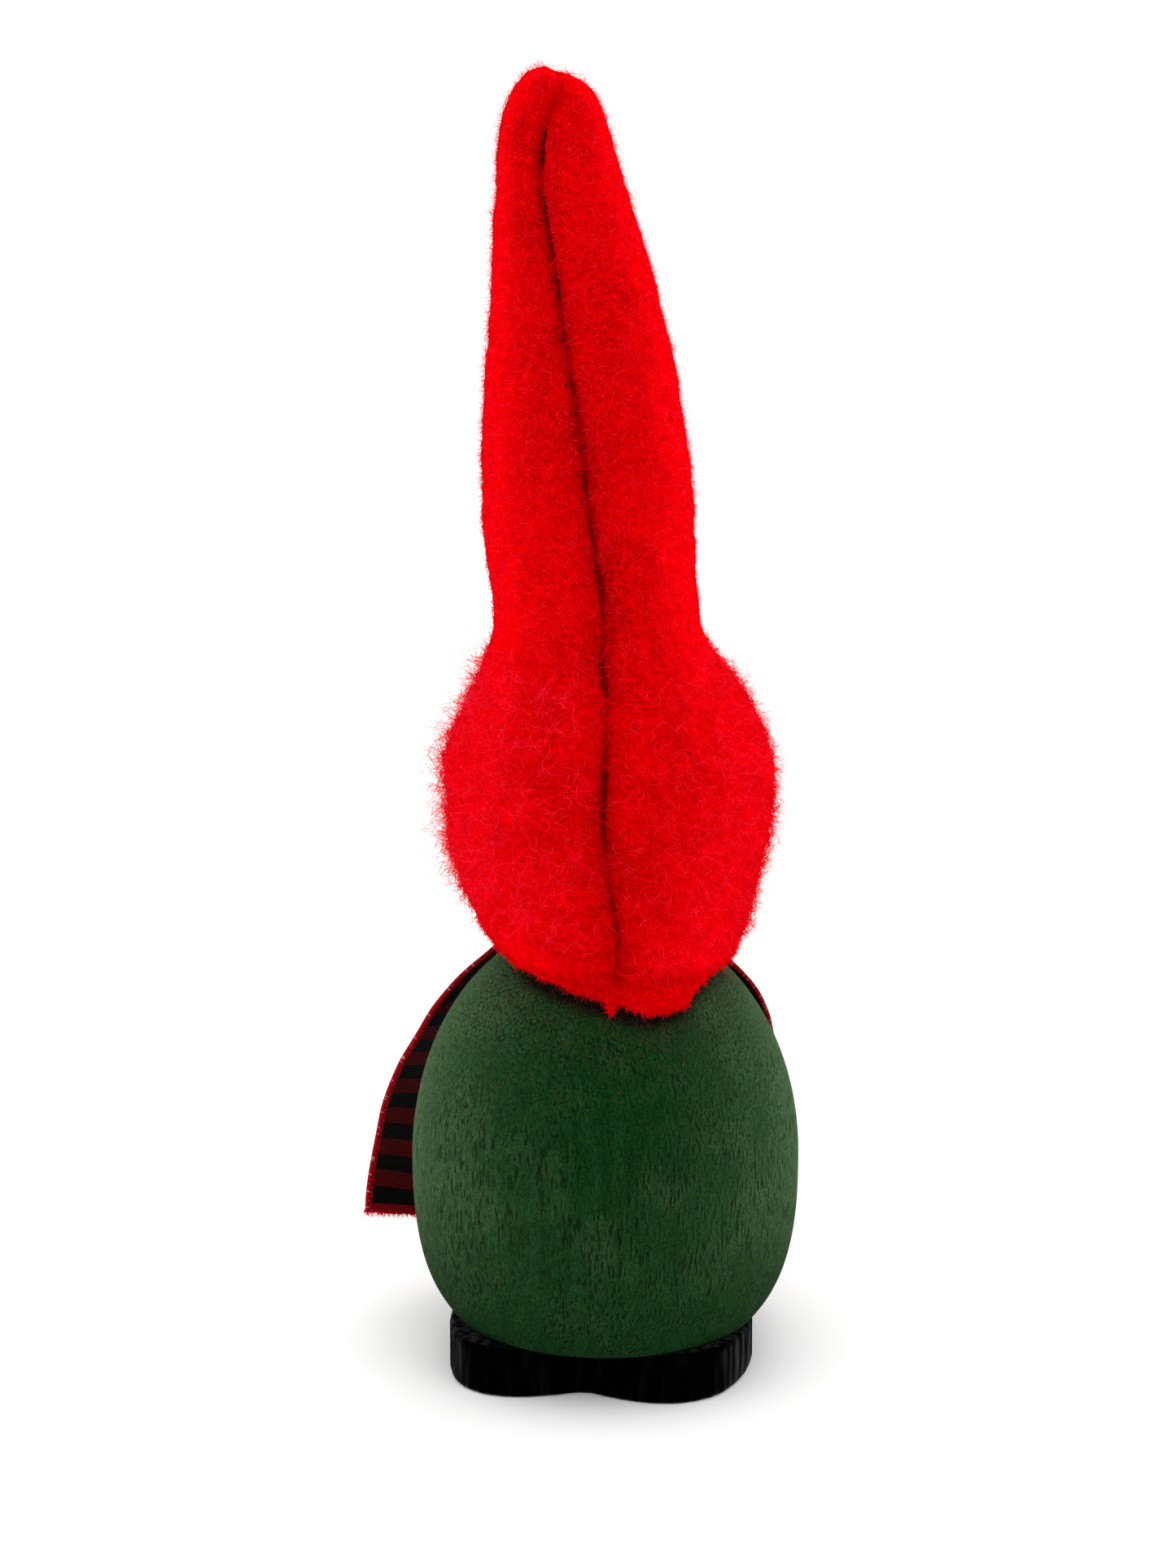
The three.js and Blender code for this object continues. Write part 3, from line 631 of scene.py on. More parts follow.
noseBall = {"radius": 5.5, "centre": (0.0, -16.83, 59.87), "poleFlat": 0.12, "columns": 96, "rows": 64}
angles = np.linspace(-math.pi / 2 * 0.96, math.pi / 2 * 0.96, noseBall["rows"])
turns = fullTurn(noseBall["columns"])
heights = noseBall["radius"] * np.sin(angles) * (1 - noseBall["poleFlat"] * np.abs(np.sin(angles)) ** 9)
rings = polar((noseBall["radius"] * np.cos(angles))[:, None], turns[None, :], heights[:, None])
rings += 0.03 * lumps(rings, 2.5, 3)[..., None] * rings / noseBall["radius"]
points, faces = turnedSkin(rings + np.array(noseBall["centre"]))
nosePiece = addPiece("noseBead", points, faces, noseWood)
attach(nosePiece, "figure")
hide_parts("nose")
print("head and nose turned")

# the felt hat
hat = {
    "felt": 1.8, "seamTurn": 100.0, "tip": 158.5, "offEgg": 0.15,
    "halfWidth": [(48, 14.0), (50.8, 14.6), (53, 15.1), (56.2, 16.3), (59.3, 17.3), (62.3, 18.3),
                  (65.4, 19.2), (68.5, 19.7), (72, 19.8), (75, 19.9), (77.6, 19.6), (80.7, 18.5),
                  (83.7, 17.0), (86.7, 15.3), (89.7, 13.6), (92.7, 12.5), (95.7, 12.35), (101.6, 12.6),
                  (107.5, 12.6), (113, 12.3), (119, 11.8), (125, 11.1), (130.7, 10.1), (136.4, 9.1),
                  (142, 8.2), (147.7, 7.15), (152, 6.3), (155, 5.3), (156.8, 4.1), (157.8, 2.9),
                  (158.5, 1.2)],
    "lean": [(50, -0.9), (56, -0.9), (62, -0.4), (68, -0.3), (80.7, -0.4), (86.7, -0.1), (89.7, 0.7),
             (95.7, 1.3), (104.5, 2.1), (116, 2.7), (125, 3.1), (133.5, 3.9), (139, 4.7), (145, 5.4),
             (150.5, 6.1), (158.3, 6.2)],
    "forward": [(84, 0.0), (124, 0.8), (158, 3.0)],
    "flat": [(80, 1.0), (94, 0.94), (139, 0.8), (158, 0.78)],
    "swing": [(48, 1.2), (59, 1.3), (63, 0.2), (72, -1.8), (80, -2.2), (88, -0.2), (95.7, 4.6), (99.6, 4),
              (107, 1.4), (115, -2.4), (123, -6.6), (131, -12.5), (138, -15.5), (146, -20.5), (151, -15),
              (154.5, 0), (157.5, 22)],
    "brim": [(-120, 58), (-110, 61.2), (-101, 64.2), (-90, 65.5), (-79, 64.2), (-69, 61.8), (-55, 60.2),
             (-30, 58.8), (0, 57.2), (32, 55.1), (54, 53.0), (80, 51.5), (101, 50.2), (110, 49.4),
             (121, 49.1), (132, 49.9), (145, 51.5), (160, 52.4), (190, 53.2), (215, 54.8), (240, 58)],
    "valley": [(48, 0.3), (60, 0.55), (80, 0.9), (92, 1.2), (120, 0.95), (146, 1.1), (153, 1.3), (158, 0.8)],
    "groove": [(48, 0.35), (60, 0.5), (80, 0.7), (92, 0.9), (120, 0.7), (146, 0.8), (154, 0.8), (158, 0.4)],
    "grooveWide": 0.8, "valleyWide": 2.7, "pulls": 21, "pullDeep": 0.55, "pullWide": 0.5,
    "columns": 280, "rows": 255, "innerRows": 45,
}
halfWidthAt, leanAt, forwardAt = smooth(hat["halfWidth"]), smooth(hat["lean"]), smooth(hat["forward"])
flatAt, swingAt, brimAt = smooth(hat["flat"]), smooth(hat["swing"]), smooth(hat["brim"])
valleyAt, grooveAt = smooth(hat["valley"]), smooth(hat["groove"])
leanWay = polar(1.0, hat["seamTurn"] - 90, 0.0)
frontWay = polar(1.0, hat["seamTurn"] + 180, 0.0)
wanderHeights = np.linspace(40, 170, 521)
wanderPaces = (0.09, 0.4, 0.23)
wanderTable = np.array([[noise.noise(Vector((s * z, 8.1, 2.2))) for z in wanderHeights] for s in wanderPaces])
dice = random.Random(11)  # where the stitches pull the felt in, up the seam
pulls = []
for i in range(hat["pulls"]):
    height = 52.8 + (i + dice.uniform(0.15, 0.85)) * 102 / hat["pulls"]
    offset = dice.uniform(-0.3, 0.3)
    pulls.append((height, offset, dice.uniform(0.35, 0.9)))


def wander(z, pace):  # slow or quick wandering of the seam with height
    return np.interp(z, wanderHeights, wanderTable[pace])


def seamAside(fromSeam, z):  # mm along the felt from the middle of the crease
    half = np.maximum(hatHalf(z), 2.0)
    return np.radians(fromSeam) * half - 0.3 * wander(z, 0) - 0.15 * wander(z, 1)


def pullShare(aside, z):  # 1 at the middle of a stitch's dimple
    total = np.zeros(np.broadcast(aside, z).shape)
    for height, offset, deep in pulls:
        far = ((z - height) / hat["pullWide"]) ** 2 + ((aside - offset) / hat["pullWide"]) ** 2
        total += deep * np.exp(-far)
    return total


def overEgg(z):  # below the neck the felt lies on the egg's shoulder
    on = eggRadius(np.minimum(z, egg["top"])) + hat["felt"] + hat["offEgg"]
    return np.where(z < egg["top"], on, 0)


def hatHalf(z):  # the hat's own shape, eased on to the egg
    own, resting = halfWidthAt(z), overEgg(z)
    return (own + resting + np.sqrt((own - resting) ** 2 + np.where(z < 58, 1.2, 0.0))) / 2


def hatPoint(fromSeam, z, sunk=0.0, creased=1.0):  # fromSeam in degrees, seen from the seam at that height
    half = hatHalf(z)
    aside = seamAside(fromSeam, z)
    valley = valleyAt(z) * np.exp(-((aside / hat["valleyWide"]) ** 2))
    depth = grooveAt(z) * (0.8 + 0.7 * wander(z, 2))
    groove = depth * np.exp(-(np.abs(aside / hat["grooveWide"]) ** 1.5))
    dimple = hat["pullDeep"] * pullShare(aside, z) if creased > 0.9 else 0
    fade = np.minimum(1, half / 5)
    reach = np.maximum(half - sunk - creased * fade * (valley + groove + dimple), 0.1)
    turn = np.radians(fromSeam + swingAt(z))
    back = reach * np.cos(turn) * flatAt(z)
    right = reach * np.sin(turn)
    flatPart = (leanAt(z)[..., None] * leanWay + forwardAt(z)[..., None] * frontWay
                - back[..., None] * frontWay - right[..., None] * leanWay)
    flatPart[..., 2] = z
    return flatPart


u = (np.arange(hat["columns"]) / hat["columns"]) * 2 - 1
fromSeam = 180 * (0.26 * u + 0.74 * u**3)


def brimEdge(off):  # the brim's height, with its cut edge's small waves and the nub at the seam
    turn = (off + hat["seamTurn"] + 3 + 120) % 360 - 120
    waves = 0.08 * np.sin(np.radians(off) * 9 + 1) + 0.1 * np.sin(np.radians(off) * 23)
    nub = 1.2 * np.exp(-(((off + 2.6) / 1.4) ** 4))
    return brimAt(turn) + waves - nub


def hatRows(rows, top, sunk, creased, lift=0.0):
    share = np.linspace(0, 1, rows)
    share = 0.72 * share + 0.14 * (1 - np.cos(share * math.pi))
    low = brimEdge(fromSeam)[None, :] + lift
    z = low + (top - low) * share[:, None]
    return hatPoint(np.broadcast_to(fromSeam, z.shape), z, sunk, creased)


outer = hatRows(hat["rows"], hat["tip"], 0.0, 1.0)
centre = outer.mean(1, keepdims=True)
way = unit((outer - centre) * (1, 1, 0))
puff = 0.34 * lumps(outer, 9.0, 5) + 0.2 * lumps(outer, 3.4, 6) + 0.1 * lumps(outer, 1.4, 7)
calm = np.minimum(1, halfWidthAt(outer[..., 2]) / 8)
outer += way * (puff * calm)[..., None]
seamTop = np.radians(hat["seamTurn"] + 18)  # the seam goes over the tip, the felt on its left stands higher
overTip = (outer - outer[-1].mean(0)) @ np.array([math.sin(seamTop), -math.cos(seamTop), 0])
nearTip = np.clip((outer[..., 2] - 152.5) / 5.5, 0, 1) ** 2
outer[..., 2] += nearTip * (0.45 * np.tanh(overTip / 1.2) - 0.4 * np.exp(-((overTip / 0.9) ** 2)))
inner = hatRows(hat["innerRows"], hat["tip"] - 2.8, hat["felt"], 0.25, 0.25)
edge = (outer[0] + inner[0]) / 2 - np.array([0, 0, 0.35])
columns = hat["columns"]
points = np.vstack([outer.reshape(-1, 3), inner.reshape(-1, 3), edge, outer[-1].mean(0), inner[-1].mean(0)])
innerStart = hat["rows"] * columns
edgeStart = innerStart + hat["innerRows"] * columns
outerPole, innerPole = edgeStart + columns, edgeStart + columns + 1
faces = gridFaces(hat["rows"], columns) + gridFaces(hat["innerRows"], columns, innerStart, inward=True)
for a in range(columns):
    b = (a + 1) % columns
    topRow, innerTop = (hat["rows"] - 1) * columns, innerStart + (hat["innerRows"] - 1) * columns
    faces += [[innerStart + a, innerStart + b, edgeStart + b, edgeStart + a],
              [edgeStart + a, edgeStart + b, b, a],
              [outerPole, topRow + a, topRow + b], [innerPole, innerTop + b, innerTop + a]]
feltHat = addPiece("feltHat", points, faces, feltRed)

# shares from 0 to 1 over the felt: painted shade along the seam's crease, and where each kind of fibre grows
z = outer[..., 2]
aside = seamAside(np.broadcast_to(fromSeam, z.shape), z)
# the crease share is painted shade: a dark line, the stitch dimples and a broad valley beside the seam
clearness = smooth([(50, 0.35), (60, 0.55), (70, 0.85), (92, 1.0), (150, 0.95), (158, 0.6)])(z)
line = np.exp(-(np.abs(aside / 0.62) ** 1.3)) * np.clip(0.6 + 0.9 * wander(z, 2), 0.3, 0.9) * clearness
broad = 0.3 * np.exp(-((aside / 2.4) ** 2))
crease = np.clip(np.maximum(line, 0.9 * pullShare(aside, z) * clearness) + broad, 0, 1)
crease *= np.clip((158 - z) / 3, 0, 1)
tipLine = nearTip * 0.45 * np.exp(-((overTip / 0.7) ** 2))
crease = np.maximum(crease, tipLine) * np.clip((z - 50.5) / 3, 0.35, 1)
low = np.clip((92 - z) / 5, 0, 1)
sideways = np.clip(np.abs(aside) / 15, 0, 1) ** 1.3
clearOfSeam = 1 - np.exp(-((aside / 1.1) ** 2))
fromBrim = z - brimEdge(fromSeam)[None, :]
leftSide = outer[..., 0] > 0
loose = low * (0.25 + 0.75 * sideways) * clearOfSeam
grows = {
    "crease": crease,
    "matLow": low * (0.35 + 0.65 * sideways) * clearOfSeam * np.clip((fromBrim - 1) / 2, 0, 1),
    "matHigh": (1 - low) * clearOfSeam,
    "haloLeft": loose * leftSide * np.clip((fromBrim - 3.5) / 4, 0, 1),
    "haloRight": loose * ~leftSide * np.clip((fromBrim - 1.5) / 3, 0, 1),
    "haloHigh": (1 - low) * clearOfSeam,
    "brimEdge": np.clip(1.3 - fromBrim / 0.9, 0, 1),
}
for name, share in grows.items():
    setWhere(feltHat, name, np.concatenate([share.ravel(), np.zeros(len(points) - share.size)]))
print("hat shaped")

fuzz = {
    "hatMatLow": {
        "Where": "matLow", "Fibres per mm2": 2.1, "Length": 2.3, "Unevenness": 0.45, "Thickness": 0.085,
        "Lean From": 68.0, "Lean To": 86.0, "Curl": 1.0, "Curl Size": 1.5, "Steps": 5, "Seed": 3},
    "hatMatHigh": {
        "Where": "matHigh", "Fibres per mm2": 1.7, "Length": 1.6, "Unevenness": 0.5, "Thickness": 0.07,
        "Lean From": 80.0, "Lean To": 89.5, "Curl": 0.35, "Curl Size": 0.9, "Steps": 5, "Seed": 4},
    "hatHaloLeft": {
        "Where": "haloLeft", "Fibres per mm2": 1.9, "Length": 2.7, "Unevenness": 0.75, "Thickness": 0.045,
        "Lean From": 15.0, "Lean To": 82.0, "Curl": 1.9, "Curl Size": 0.75, "Steps": 7, "Seed": 5},
    "hatHaloRight": {
        "Where": "haloRight", "Fibres per mm2": 2.0, "Length": 1.7, "Unevenness": 0.75, "Thickness": 0.045,
        "Lean From": 10.0, "Lean To": 82.0, "Curl": 1.3, "Curl Size": 0.8, "Steps": 6, "Seed": 7},
    "hatHaloHigh": {
        "Where": "haloHigh", "Fibres per mm2": 2.9, "Length": 0.62, "Unevenness": 0.6, "Thickness": 0.045,
        "Lean From": 5.0, "Lean To": 70.0, "Curl": 0.25, "Curl Size": 0.5, "Steps": 3, "Seed": 6},
    "hatBrimFuzz": {
        "Where": "brimEdge", "Fibres per mm2": 40.0, "Length": 0.5, "Unevenness": 0.6, "Thickness": 0.04,
        "Lean From": 0.0, "Lean To": 70.0, "Droop": 0.5, "Curl": 0.35, "Curl Size": 0.6, "Steps": 4,
        "Seed": 9},
}
for name, settings in fuzz.items():
    finish = haloRed if "Halo" in name else fibreRed
    grown = runTree(name, feltHat, fibreMaker, {"Droop": 0.0, **settings, "Finish": finish})
    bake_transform(grown)
    print(name, len(grown.data.polygons), "faces")
for name in grows:
    if name != "crease":
        feltHat.data.attributes.remove(feltHat.data.attributes[name])
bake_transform(feltHat)
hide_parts("hat_crown", "hat_peak")
print("hat fuzzed")

# the felt sheds fluff on the paint just under its brim, and painted shade darkens the paint where the brim
# keeps the light off it
turns = (np.degrees(np.arctan2(eggPoints[:, 1], eggPoints[:, 0])) + 120) % 360 - 120
below = brimAt(turns) - 1.5 - eggPoints[:, 2]
patchy = 0.5 + 0.5 * lumps(eggPoints, 2.6, 21)
under = np.clip(below, 0, 99)
shade = np.exp(-(under / 0.8) ** 1.5) * 0.95 + 0.12 * patchy * np.exp(-under / 2.0)
setWhere(bodyEgg, "underBrim", np.clip(shade, 0, 1))
setWhere(bodyEgg, "fluff", np.where(below > -0.5, np.exp(-under / 2.4) * (0.3 + 0.7 * patchy), 0))
strayFluff = runTree("strayFluff", bodyEgg, fibreMaker, {
    "Where": "fluff", "Fibres per mm2": 7.0, "Length": 1.0, "Unevenness": 0.6, "Thickness": 0.035,
    "Lean From": 60.0, "Lean To": 88.0, "Droop": 0.0, "Curl": 0.5, "Curl Size": 0.6, "Steps": 5, "Seed": 14,
    "Finish": fluffRed})
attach(strayFluff, "figure")
bodyEgg.data.attributes.remove(bodyEgg.data.attributes["fluff"])
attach(bodyEgg, "figure")
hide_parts("body_egg")
print("strayFluff", len(strayFluff.data.polygons), "faces")

# seam stitches: short bars of thread down in the crease
stitching = {"Stitch Length": 1.3, "Thickness": 0.34}


def stitchTree():
    tree, given, out = newGroup("stitchTree", "GeometryNodeTree", [
        ("Geometry", shape, None), ("Stitch Length", value, 1.7), ("Thickness", value, 0.36),
        ("Finish", dye, None)], [("Geometry", shape)])
    seam = addNode(tree, "GeometryNodeMeshToCurve", {"Mesh": given["Geometry"]})
    spots = addNode(tree, "GeometryNodeCurveToPoints", {"Curve": seam.outputs[0]}, mode="EVALUATED")
    bow = addNode(tree, "GeometryNodeCurveArc", {
        "Resolution": 9, "Radius": times(tree, given["Stitch Length"], 0.6 * mm),
        "Start Angle": math.radians(-60), "Sweep Angle": math.radians(120)}, mode="RADIUS")
    radius = times(tree, given["Thickness"], mm / 2)
    ring = addNode(tree, "GeometryNodeCurvePrimitiveCircle", {"Resolution": 8, "Radius": radius})
    bar = addNode(tree, "GeometryNodeCurveToMesh", {
        "Curve": bow.outputs[0], "Profile Curve": ring.outputs[0], "Fill Caps": True})
    slant = addNode(tree, "FunctionNodeEulerToRotation", {0: (math.radians(12), math.radians(25), 0.0)})
    turned = addNode(tree, "FunctionNodeRotateRotation", {0: spots.outputs["Rotation"], 1: slant.outputs[0]},
                     rotation_space="LOCAL")
    sewn = addNode(tree, "GeometryNodeInstanceOnPoints", {
        "Points": spots.outputs["Points"], "Instance": bar.outputs[0], "Rotation": turned.outputs[0]})
    endTree(tree, sewn.outputs[0], given, out)
    return tree


seamHeights = np.array([height for height, offset, deep in pulls])
seamOffsets = np.array([offset for height, offset, deep in pulls]) + 0.3 * wander(seamHeights, 0)
seamLine = hatPoint(np.degrees(seamOffsets / np.maximum(halfWidthAt(seamHeights), 2)), seamHeights, 0.1)
seamPath = bpy.data.meshes.new("seamPath")
seamPath.from_pydata((seamLine * mm).tolist(), [[i, i + 1] for i in range(len(seamLine) - 1)], [])
seamGuide = addObject("seamGuide", seamPath)
stitches = runTree("seamStitches", seamGuide, stitchTree(), {**stitching, "Finish": threadRed})
bpy.data.objects.remove(seamGuide)
stitches.data.polygons.foreach_set("use_smooth", [True] * len(stitches.data.polygons))
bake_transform(stitches)
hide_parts("seam_thread_crown", "seam_thread_peak")
print("seam stitched")

# wadding inside the tall end
wadding = {"from": 101.0, "to": 146.0, "rows": 44, "columns": 72, "clear": 3.2}
heights = np.linspace(wadding["from"], wadding["to"], wadding["rows"])
around = fullTurn(wadding["columns"])
around, heights = np.broadcast_arrays(around[None, :], heights[:, None])
rings = hatPoint(around, heights, wadding["clear"], 0.0)
middle = rings.mean(1, keepdims=True)
closing = np.sqrt(np.clip(1 - (np.abs(np.linspace(-1, 1, len(heights))) ** 6), 0.03, 1))
rings = middle + (rings - middle) * closing[:, None, None]
rings += (rings - middle) * 0.09 * lumps(rings, 3.0, 8)[..., None]
points, faces = turnedSkin(rings)
stuffing = addPiece("hatWadding", points, faces, fleeceWhite)
setWhere(stuffing, "tone", np.full(len(points), 0.6))
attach(stuffing, "hat_end")
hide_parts("hat_wadding")

# the ribbon scarf
scarf = {
    "thick": 0.5, "half": 7.0, "neckHalf": 3.8, "hinge": 46.6,
    "left": {"seed": 3, "skew": [(0, 2.3), (6, 2.7), (45, 1.2)], "cup": 0.3,
             "clear": [(12.4, 8.9), (23.5, 6.5), (28.9, 5.2), (34.2, 3.6), (39.5, 1.9), (44.2, 1.2),
                       (48.4, 0.95), (51, 1.0), (53.4, 1.7), (56.0, 3.4)],
             "turn": [(12.4, 340), (48.4, 340), (51, 342), (53.4, 344), (56.0, 345)]},
    "right": {"seed": 5, "skew": [(0, 0.6), (6, 0.0), (45, 0.0)], "cup": 1.1,
              "clear": [(17.0, 1.9), (23.5, 1.5), (28.9, 1.3), (34.2, 1.2), (39.5, 1.1), (44.2, 1.1),
                        (48.4, 1.1), (51, 1.2), (53.4, 1.9), (56.0, 3.4)],
              "turn": [(17.0, 234), (23.5, 233), (28.9, 232), (34.2, 231), (39.5, 229.5), (44.2, 226),
                       (48.4, 221.5), (51, 220), (53.4, 219), (56.0, 218)]},
    "rows": 110, "acrossSteps": 26, "blend": 2.5,
}


def ribbonPiece(name, line):
    seed = line["seed"]
    clearAt, turnAt = smooth(line["clear"]), smooth(line["turn"])
    low, top = line["clear"][0][0], line["clear"][-1][0]
    widthAt = smooth([(top - 14, scarf["half"]), (top - 8, 6.1), (top - 2.4, scarf["neckHalf"]), (top, 3.4)])
    z = np.linspace(low, top, scarf["rows"])

    def middleAt(height):
        radius = eggRadius(np.minimum(height, egg["top"] - 1.5)) + clearAt(height)
        return polar(radius, turnAt(height), height)
    middle = middleAt(z)
    across = polar(1.0, turnAt(z) + 90, np.zeros(len(z)))
    along = unit(middleAt(z + 0.2) - middleAt(z - 0.2))
    out = unit(np.cross(across, along))
    walked = np.concatenate([[0], np.cumsum(np.linalg.norm(np.diff(middle, axis=0), axis=1))])
    s = np.linspace(-1, 1, scarf["acrossSteps"])
    flutter = 0.22 * np.sin(walked / 5.5 + seed)[:, None] * s[None, :] ** 2 * np.sign(s)[None, :]
    cup = -line["cup"] * (s**2)[None, :] * np.ones(len(z))[:, None]
    hang = smooth(line["skew"])(walked)[:, None] * s[None, :]  # the checks lie a little askew
    spread = widthAt(z)[:, None] * s[None, :]
    cloth = (middle[:, None] + across[:, None] * spread[..., None] + out[:, None] * (flutter + cup)[..., None]
             + along[:, None] * hang[..., None])
    flutterEdge = 0.08 * lumps(cloth, 1.1, seed)
    cloth += along[:, None] * (flutterEdge * np.clip(1 - walked / 1.5, 0, 1)[:, None])[..., None]
    uvAcross = (s + 1) / 2 * ribbonCheck["width"] / ribbonCheck["mapSpan"]
    uv = np.stack(np.broadcast_arrays(uvAcross[None, :], walked[:, None] / ribbonCheck["mapSpan"]), -1)
    return ribbonMesh(name, cloth, out, uv, scarf["thick"]), walked[-1]


def ribbonMesh(name, cloth, out, uv, thick):  # gives a strip of cloth its thickness, all closed
    rows, steps = cloth.shape[:2]
    lift = out[:, None] * thick / 2 if out.ndim == 2 else out * thick / 2
    front, back = cloth + lift, cloth - lift
    rings = np.concatenate([back, front[:, ::-1]], 1)
    uvs = np.concatenate([uv, uv[:, ::-1]], 1)
    wide = steps * 2
    faces = gridFaces(rows, wide)
    ends = []
    for row in (0, rows - 1):
        start = row * wide
        for a in range(steps - 1):
            quad = [start + a, start + a + 1, start + wide - 2 - a, start + wide - 1 - a]
            ends.append(quad if row else quad[::-1])
    points = rings.reshape(-1, 3)
    faces += ends
    volume = 0.0
    for face in faces:
        a = points[face[0]]
        for b, c in zip(face[1:], face[2:]):
            volume += float(np.dot(a, np.cross(points[b], points[c])))
    if volume < 0:
        faces = [face[::-1] for face in faces]
    return addPiece(name, points, faces, checkedCloth, uvs.reshape(-1, 2))


hinges = {"left": "scarf_end_left", "right": "scarf_end_right"}
for side, body in hinges.items():
    piece, long = ribbonPiece("scarf" + side.capitalize(), scarf[side])
    cut = np.zeros(len(piece.data.vertices))  # threads stand out of the cut end
    cut[:scarf["acrossSteps"] * 2] = 1
    setWhere(piece, "cutEnd", cut)
    fray = runTree("fray" + side.capitalize(), piece, fibreMaker, {
        "Where": "cutEnd", "Fibres per mm2": 14.0, "Length": 0.55, "Unevenness": 0.7, "Thickness": 0.09,
        "Lean From": 0.0, "Lean To": 55.0, "Droop": 1.5, "Curl": 0.12, "Curl Size": 0.5, "Steps": 4,
        "Seed": 8, "Finish": fibreRed})
    piece.data.attributes.remove(piece.data.attributes["cutEnd"])
    high = (0.0, 0.0, (scarf["hinge"] + scarf["blend"]) * mm)
    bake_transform(piece)
    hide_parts("scarf_shoulder_" + side, "scarf_tail_" + side)
    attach(fray, body)
    print("scarf", side, "is", round(long, 1), "mm long from the nape")

# the nape band is the same ribbon folded in half, its fold upwards
nape = {"from": -14.0, "to": 214.0, "radius": 12.35, "low": 52.7, "high": 59.3, "thick": 0.42, "apart": 0.62,
        "rows": 120, "steps": 30}
turns = np.linspace(nape["from"], nape["to"], nape["rows"])
s = np.linspace(0, 1, nape["steps"])
rise = np.minimum(s, 1 - s) * 2 * (nape["high"] - nape["low"]) + nape["low"]
layer = np.interp(s, [0, 0.46, 0.54, 1], [0, 0, nape["apart"], nape["apart"]])
radius = nape["radius"] + layer[None, :] + 0.12 * np.sin(np.radians(turns) * 6)[:, None]
cloth = polar(radius, turns[:, None], rise[None, :])
out = unit(np.cross(np.gradient(cloth, axis=1), np.gradient(cloth, axis=0)))
walked = np.radians(turns - nape["from"]) * nape["radius"]
uvAcross = s * ribbonCheck["width"] / ribbonCheck["mapSpan"]
uv = np.stack(np.broadcast_arrays(uvAcross[None, :], walked[:, None] / ribbonCheck["mapSpan"]), -1)
napeBand = ribbonMesh("scarfNape", cloth, out, uv, nape["thick"])
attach(napeBand, "figure")
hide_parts("scarf_nape_band")
print("scarf tied")

# the beard
beard = {"top": 53.2, "bottom": 21.5, "neck": 12.2, "backing": 0.7, "rows": 90, "steps": 40,
         "half": [(21.5, 1.4), (25.0, 3.7), (30.1, 5.8), (36.1, 7.2), (43.1, 7.6), (48.4, 6.9), (51.3, 5.6),
                  (52.7, 3.9), (53.2, 2.2)],
         "depth": [(21.5, 1.6), (30.1, 4.4), (39.9, 5.0), (48.1, 3.8), (51.6, 2.8), (53.2, 1.2)]}
halfAt, depthAt = smooth(beard["half"]), smooth(beard["depth"])


def beardSkin(name, inner, outerDepth, material, rows, steps, seed=0):
    z = np.linspace(beard["bottom"], beard["top"], rows)
    s = np.linspace(-1, 1, steps)
    base = np.maximum(eggRadius(z) + 0.6, beard["neck"])
    spread = np.degrees(halfAt(z) / base)
    turn = 270 + spread[:, None] * s[None, :]
    depth = outerDepth(s[None, :], z[:, None])
    frontSide = polar(base[:, None] + depth, turn, z[:, None])
    if seed:
        frontSide[..., 1] -= 0.5 * lumps(frontSide * (1, 1, 0.5), 2.4, seed)
    backSide = polar((base + inner)[:, None], turn, z[:, None])[:, ::-1]
    points, faces = turnedSkin(np.concatenate([frontSide, backSide], 1))
    return addPiece(name, points, faces, material), points


def backingDepth(s, z):
    return np.full(np.broadcast(s, z).shape, beard["backing"])


backing, points = beardSkin("beardBacking", 0.0, backingDepth, backingCloth, 60, 24)
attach(backing, "beard")
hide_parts("beard_backing")


def fleeceDepth(s, z):
    return 1.9 + (depthAt(z) - 1.1) * np.sqrt(np.clip(1 - s * s, 0, 1))


fleece, points = beardSkin("beardFleece", 1.0, fleeceDepth, fleeceWhite, beard["rows"], beard["steps"], 9)
setWhere(fleece, "tone", 0.5 + 0.3 * lumps(points, 2.0, 10))
outside = np.clip((-points[:, 1] - np.maximum(eggRadius(points[:, 2]), 11.6) - 0.2) / 1.2, 0, 1)
setWhere(fleece, "strands", outside)
strandSets = {
    "beardStrands": {
        "Fibres per mm2": 5.0, "Length": 7.5, "Unevenness": 0.4, "Thickness": 0.16, "Lean From": 0.0,
        "Lean To": 22.0, "Droop": 2.6, "Curl": 0.9, "Curl Size": 2.2, "Steps": 6, "Seed": 12},
    "beardFuzz": {
        "Fibres per mm2": 5.0, "Length": 3.2, "Unevenness": 0.5, "Thickness": 0.09, "Lean From": 0.0,
        "Lean To": 50.0, "Droop": 1.0, "Curl": 0.8, "Curl Size": 1.2, "Steps": 6, "Seed": 13},
}
for name, settings in strandSets.items():
    grown = runTree(name, fleece, fibreMaker, {**settings, "Where": "strands", "Finish": fleeceWhite})
    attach(grown, "beard")
    print(name, len(grown.data.polygons), "faces")
fleece.data.attributes.remove(fleece.data.attributes["strands"])
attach(fleece, "beard")
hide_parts("beard_fleece")
print("beard combed")

# the dowels and the peg keep their shape and get wood
for name in ("base_dowel_left", "base_dowel_right", "neck_dowel", "nose_peg"):
    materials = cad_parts[name].data.materials
    materials.clear()
    materials.append(bareWood)

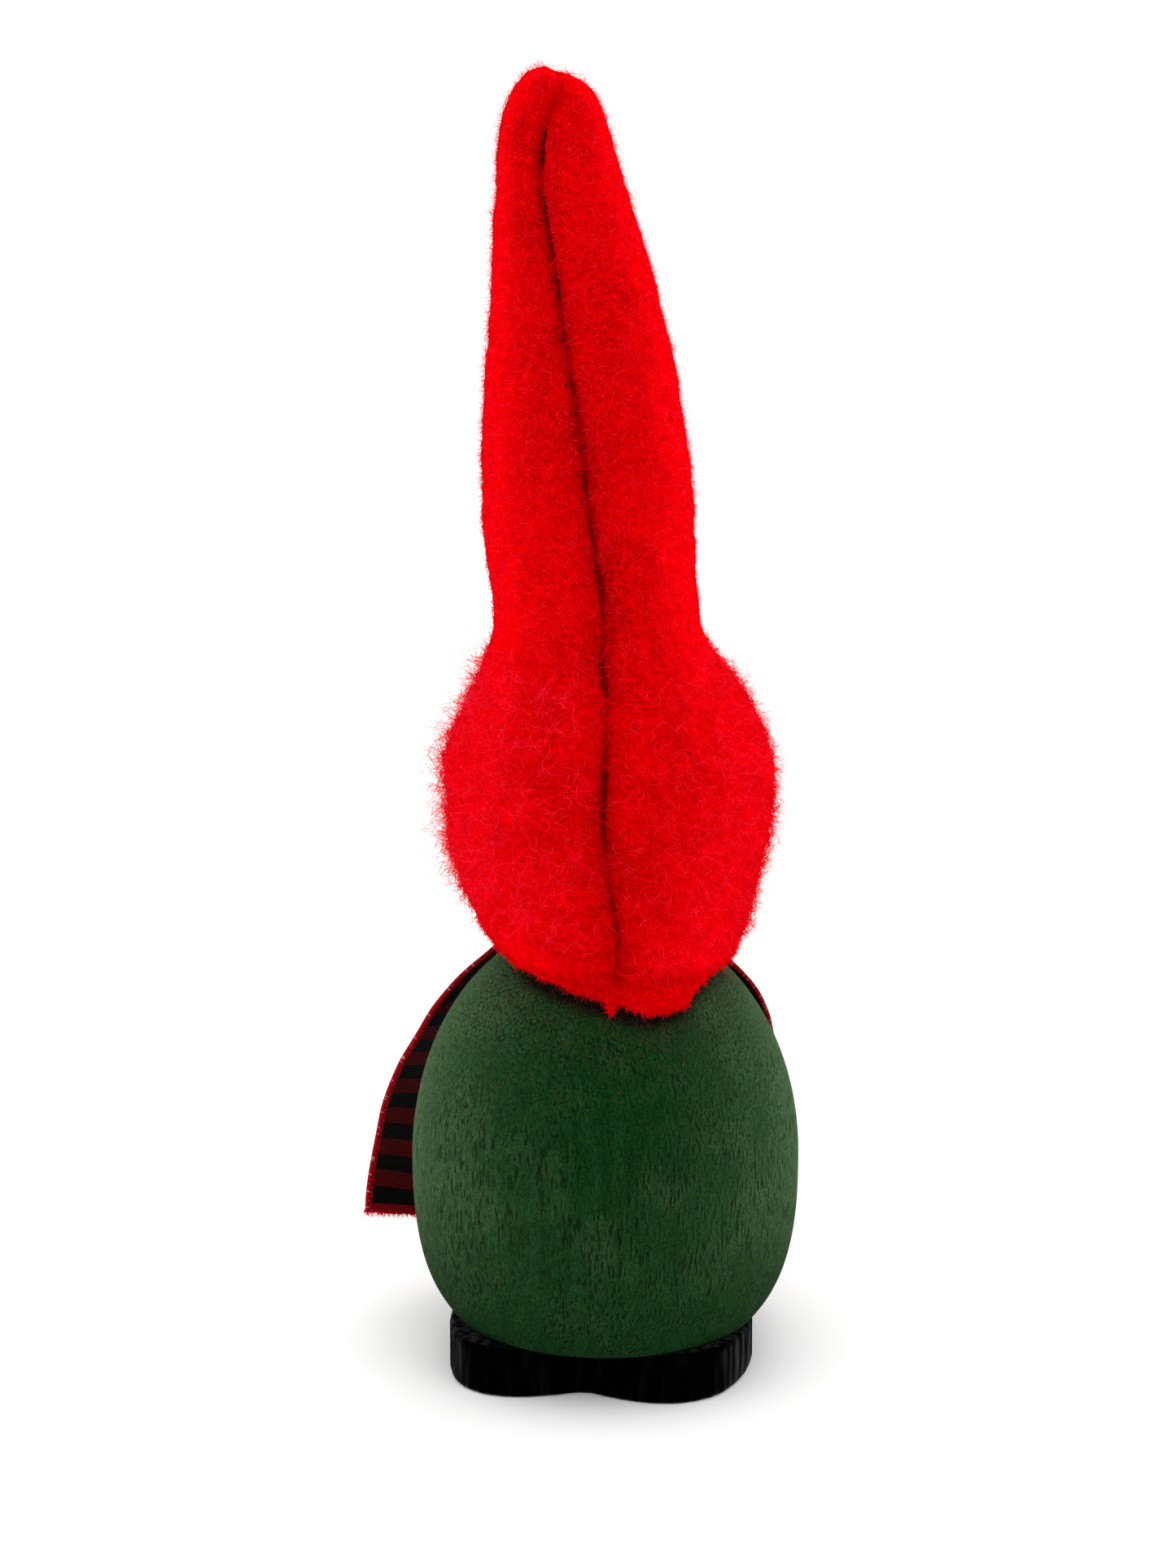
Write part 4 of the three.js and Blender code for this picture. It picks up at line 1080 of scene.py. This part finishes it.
# floor, light and camera
studio = {"floor": 900.0, "floorColour": (0.97, 0.97, 0.965), "worldStrength": 1.0}
floorWhite, tree, shader = newMaterial("floorWhite", Roughness=0.9, Specular_IOR_Level=0.1)
paper = noiseAt(tree, placeOf(tree), 0.02, 2.0)
paint(tree, shader, mixColour(tree, paper, studio["floorColour"], (0.99, 0.99, 0.985)))
f = studio["floor"]
floor = addPiece("floor", [(-f, -f, 0), (f, -f, 0), (f, f, 0), (-f, f, 0)], [[0, 1, 2, 3]], floorWhite)
floor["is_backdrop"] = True

world = bpy.data.worlds.new("paleRoom")
world.use_nodes = True
background = next(n for n in world.node_tree.nodes if n.type == "BACKGROUND")
background.inputs["Color"].default_value = (1.0, 1.0, 1.0, 1)
background.inputs["Strength"].default_value = studio["worldStrength"]
bpy.context.scene.world = world


def aim(thing, way):  # turns a light or the camera to look along way
    thing.rotation_mode = "QUATERNION"
    thing.rotation_quaternion = way.to_track_quat("-Z", "Y")


def softLight(name, place, size, power):  # an area light that looks at the figure's middle
    data = bpy.data.lights.new(name, "AREA")
    data.shape = "DISK"
    data.size = size * mm
    data.energy = power
    lamp = addObject(name, data)
    lamp.location = Vector(place) * mm
    aim(lamp, Vector((0, 0, 80)) * mm - lamp.location)


softLight("skyPanel", (-60, 120, 900), 900, 2.4)
softLight("rightPanel", (-700, 450, 420), 600, 1.05)
softLight("leftPanel", (700, 350, 420), 600, 0.95)
softLight("frontPanel", (100, -800, 420), 700, 1.0)

lens = {"azimuth": 190.0, "away": 380.0, "height": 154.0, "down": 12.0, "aside": 2.19, "focal": 73.05}
a = math.radians(lens["azimuth"])
forward = Vector((-math.sin(a), math.cos(a), 0))
rightward = Vector((math.cos(a), math.sin(a), 0))
cameraData = bpy.data.cameras.new("camera")
cameraData.lens = lens["focal"]
cameraData.sensor_width = 36.0
cameraData.clip_end = 20.0
camera = addObject("camera", cameraData)
camera.location = (-forward * lens["away"] - rightward * lens["aside"] + Vector((0, 0, lens["height"]))) * mm
d = math.radians(lens["down"])
aim(camera, forward * math.cos(d) - Vector((0, 0, math.sin(d))))
bpy.context.scene.camera = camera
bpy.context.scene.view_settings.view_transform = "Standard"
bpy.context.scene.view_settings.look = "None"
print("studio lit")

low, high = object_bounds()
